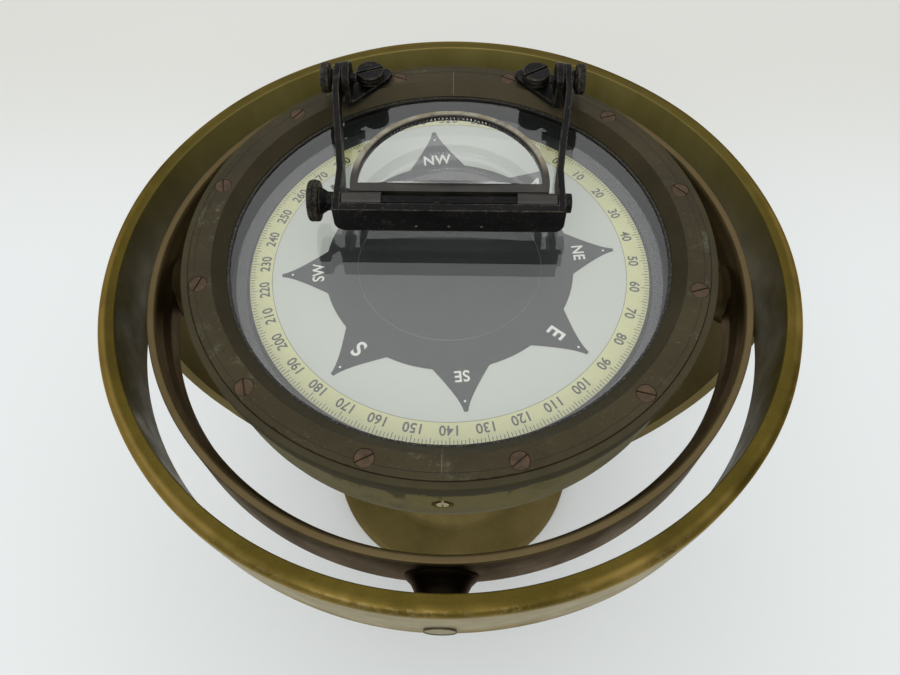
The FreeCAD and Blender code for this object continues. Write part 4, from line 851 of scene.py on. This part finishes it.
def build_rose():
    """The dark eight-pointed star with hollow flanks, its lettering, and the rib round its middle."""
    lift = CARD_TOP + 0.08 * MM
    body = ROSE_BODY * MM
    tip = ROSE_TIP * MM
    base_half = 12.25
    root = body * math.sin(math.radians(base_half))
    ordered = []
    for point in range(8):
        flank = []
        for share in range(13):
            along = share / 12
            radius = tip + (body - tip) * along
            half_width = root * (0.07 + 0.93 * along ** 1.4)
            flank.append((math.degrees(math.asin(half_width / radius)), radius))
        for spread, radius in reversed(flank):
            ordered.append(polar(45 * point - spread, radius))
        for spread, radius in flank:
            ordered.append(polar(45 * point + spread, radius))
        for share in range(1, 6):
            ordered.append(polar(45 * point + base_half + (45 - 2 * base_half) * share / 6, body))
    verts = [Vector((0, 0, lift))] + [Vector((spot.x, spot.y, lift)) for spot in ordered]
    count = len(ordered)
    faces = [(0, index + 1, (index + 1) % count + 1) for index in range(count)]
    piece("card_rose", verts, faces, "card_disc", ROSE, stands_for=False)
    parts = []
    above = lift + 0.05 * MM
    hole_r = 0.55 * MM
    names = ("N", "NE", "E", "SE", "S", "SW", "W", "NW")
    for number, word in enumerate(names):
        height = 7.8 if len(word) == 1 else 5.4
        parts.append(lettering(word, height * MM, 45 * number, ROSE_LETTERS_R * MM, above, 0.90))
        spot = polar(45 * number, ROSE_HOLES_R * MM)
        angles = [k * math.pi / 6 for k in range(12)]
        hole = [(hole_r * math.cos(angle), hole_r * math.sin(angle)) for angle in angles]
        parts.append(([Vector((spot.x + x, spot.y + y, above)) for x, y in hole], [tuple(range(12))]))
    verts, faces = joined(*parts)
    piece("card_rose_lettering", verts, faces, "card_disc", ROSE_WHITE, stands_for=False)
    # The rib's lighter grey is partly a painted highlight.
    outline = rounded([(43.6, 0, 0), (44.4, 0, 0), (44.2, 0.25, 0.1), (43.8, 0.25, 0.1)], 2)
    verts, faces = lathe([(r, z + lift) for r, z in outline])
    piece("card_float_rib", verts, faces, "card_disc", RIB, stands_for=False)


# ---------------------------------------------------------------- reading lens

def knurl(radius, start, end, teeth, turn, depth=0.45):
    """A knurled drum from start to end along Z, all in millimetres."""
    rows = 9
    count = teeth * 4
    verts = []
    for row in range(rows + 1):
        share = row / rows
        edge = 0.8 if row in (0, rows) else 0.0
        for step in range(count):
            angle = 2 * math.pi * step / count
            first = math.cos(teeth * angle + share * 9.0)
            second = math.cos(teeth * angle - share * 9.0)
            reach = radius - edge - depth * (0.5 + 0.25 * (first + second))
            height = start + (end - start) * share
            verts.append(Vector((reach * math.cos(angle), reach * math.sin(angle), height)) * MM)
    faces = []
    for row in range(rows):
        lower = row * count
        upper = lower + count
        for step in range(count):
            second = (step + 1) % count
            faces.append((lower + step, lower + second, upper + second, upper + step))
    for row, lift in ((0, start), (rows, end)):
        middle = len(verts)
        verts.append(Vector((0, 0, lift * MM)))
        for step in range(count):
            faces.append((row * count + step, row * count + (step + 1) % count, middle))
    return [turn @ vert for vert in verts], faces


def build_thumbscrews():
    length = 4.6
    for name, node, axis, side in (
        ("left_thumb_head", "left_thumbscrew", "-X", -1), ("right_thumb_head", "right_thumbscrew", "+X", 1),
    ):
        outer = high("right_thumbscrew").x / MM
        turn = about(axis, 0, HINGE.y, HINGE.z)
        parts = [knurl(7.5, outer - length, outer - 0.02, 34, turn)]
        start = low("right_thumbscrew").x / MM
        neck = rounded([(0, start, 0), (2.45, start, 0), (2.45, outer - 7.1, 0.3), (4.3, outer - 7.0, 0.5),
                        (4.4, outer - 6, 1), (5.6, outer - length, 1), (0, outer - length, 0)])
        parts.append(lathe(neck, turn, 48))
        verts, faces = joined(*parts)
        piece(name, verts, faces, node, angle=25)


def build_lens_knob():
    outer = -low("lens_knob").x / MM
    inner = -high("lens_knob").x / MM
    turn = about("-X", 0, SHAFT.y, SHAFT.z)
    parts = [knurl(9.5, outer - 5.0, outer - 0.02, 40, turn, 0.5)]
    neck = rounded([
        (0, inner, 0), (4.2, inner, 0.4), (4.3, inner + 2.6, 1.5), (6.6, outer - 5.0, 0.4),
        (0, outer - 5.0, 0),
    ])
    parts.append(lathe(neck, turn, 56))
    verts, faces = joined(*parts)
    piece("lens_knob_head", verts, faces, "lens_knob", angle=25)


def build_clamp_screws():
    top = high("bracket_screws").z
    seat = BEZEL_TOP + 3 * MM
    x = high("bracket_screws").x - 7.7 * MM
    y = (low("bracket_screws").y + high("bracket_screws").y) / 2
    parts = []
    for side, angle in ((1, 0.55), (-1, 0.35)):
        turn = Matrix.Translation((side * x, y, seat + 2.2 * MM)) @ Matrix.Rotation(angle, 4, "Z")
        parts.append(slotted_head(7.4 * MM, top - seat - 2.3 * MM, 1.4 * MM, 2.2 * MM, turn))
        neck = rounded([(0, 0, 0), (5.2, 0, 0), (5.2, 1.2, 0.6), (7.2, 2.3, 0.2), (0, 2.3, 0)])
        parts.append(lathe(neck, Matrix.Translation((side * x, y, seat)), 48))
    verts, faces = joined(*parts)
    piece("clamp_screw_heads", verts, faces, "bracket_screws", angle=30)


def build_bar_marks():
    """Three small punch marks on the bar's front face."""
    parts = []
    front = low("lens_bracket").y
    middle = low("lens_bracket").z + 3.4 * MM
    for number in (-1, 0, 1):
        outline = [(0, 0), (0.7 * MM, 0), (0.5 * MM, 0.12 * MM), (0, 0.14 * MM)]
        parts.append(lathe(outline, about("-Y", number * 15 * MM, front, middle), 20))
    verts, faces = joined(*parts)
    piece("bar_marks", verts, faces, "lens_bracket", LINE, stands_for=False)


# ---------------------------------------------------------------- studio

def build_studio():
    half = 3.0
    corners = [(-half, -half, 0), (half, -half, 0), (half, half, 0), (-half, half, 0)]
    mesh = bpy.data.meshes.new("floor")
    mesh.from_pydata(corners, [], [(0, 1, 2, 3)])
    floor = linked("floor", mesh)
    nodes = Nodes("floor_white")
    _, y, _ = nodes.axes()
    behind = nodes.span(y, 0.16, 0.5)
    nodes.shade(Base_Color=nodes.mix(behind, (0.81, 0.835, 0.83), (0.73, 0.73, 0.685)), Roughness=0.7)
    mesh.materials.append(nodes.material)

    world = bpy.data.worlds.new("studio")
    bpy.context.scene.world = world
    world.use_nodes = True
    background = world.node_tree.nodes["Background"]
    background.inputs["Color"].default_value = (0.97, 0.99, 1.0, 1)
    background.inputs["Strength"].default_value = 0.47

    add_lamp("ceiling_light", (0.0, 1.3, 2.4), (0, 1.3, 0.0), 4.6, 4.0, 46)
    add_lamp("front_light", (-0.3, -1.9, 2.0), (0, 0, 0.1), 1.8, 2.4, 30)
    bpy.context.scene.view_settings.view_transform = "Standard"


def add_lamp(name, place, target, depth, width, power):
    data = bpy.data.lights.new(name, "AREA")
    data.shape = "RECTANGLE"
    data.size = width
    data.size_y = depth
    data.energy = power
    lamp = linked(name, data)
    lamp.location = place
    lamp.rotation_euler = (Vector(target) - Vector(place)).to_track_quat("-Z", "Y").to_euler()


def build_camera():
    """The camera that the photo's circles were fitted with: its place, and its yaw, dip and roll."""
    camera_data = bpy.data.cameras.new("camera")
    camera_data.lens = 28.6
    camera_data.sensor_width = 36.0
    camera_data.clip_start = 0.01
    camera = linked("camera", camera_data)
    place = (0.0080, -0.2134, 0.5164)
    yaw = math.radians(2.23)
    dip = math.radians(57.93)
    roll = math.radians(1.10)
    forward = Vector((-math.sin(yaw) * math.cos(dip), math.cos(yaw) * math.cos(dip), -math.sin(dip)))
    right = Vector((math.cos(yaw), math.sin(yaw), 0))
    up = right.cross(forward)
    turned_right = right * math.cos(roll) - up * math.sin(roll)
    turned_up = up * math.cos(roll) + right * math.sin(roll)
    camera.matrix_world = Matrix.Translation(place) @ Matrix((
        (turned_right.x, turned_up.x, -forward.x, 0),
        (turned_right.y, turned_up.y, -forward.y, 0),
        (turned_right.z, turned_up.z, -forward.z, 0),
        (0, 0, 0, 1),
    ))
    bpy.context.scene.camera = camera


build_ring()
build_plugs()
build_gimbal()
build_pin_heads()
build_bowl()
build_packing_dots()
build_lubber_lines()
build_bezel_screws()
build_card_markings()
build_rose()
build_thumbscrews()
build_lens_knob()
build_clamp_screws()
build_bar_marks()
softened("lens_bracket", 0.5 * MM)
softened("left_bracket", 0.5 * MM)
softened("right_bracket", 0.5 * MM)
softened("lens_frame", 0.6 * MM)
softened("yoke", 0.8 * MM)
frame["nodes"]["magnifier_lens"].data.materials.clear()
frame["nodes"]["magnifier_lens"].data.materials.append(LENS_GLASS)
build_studio()
build_camera()
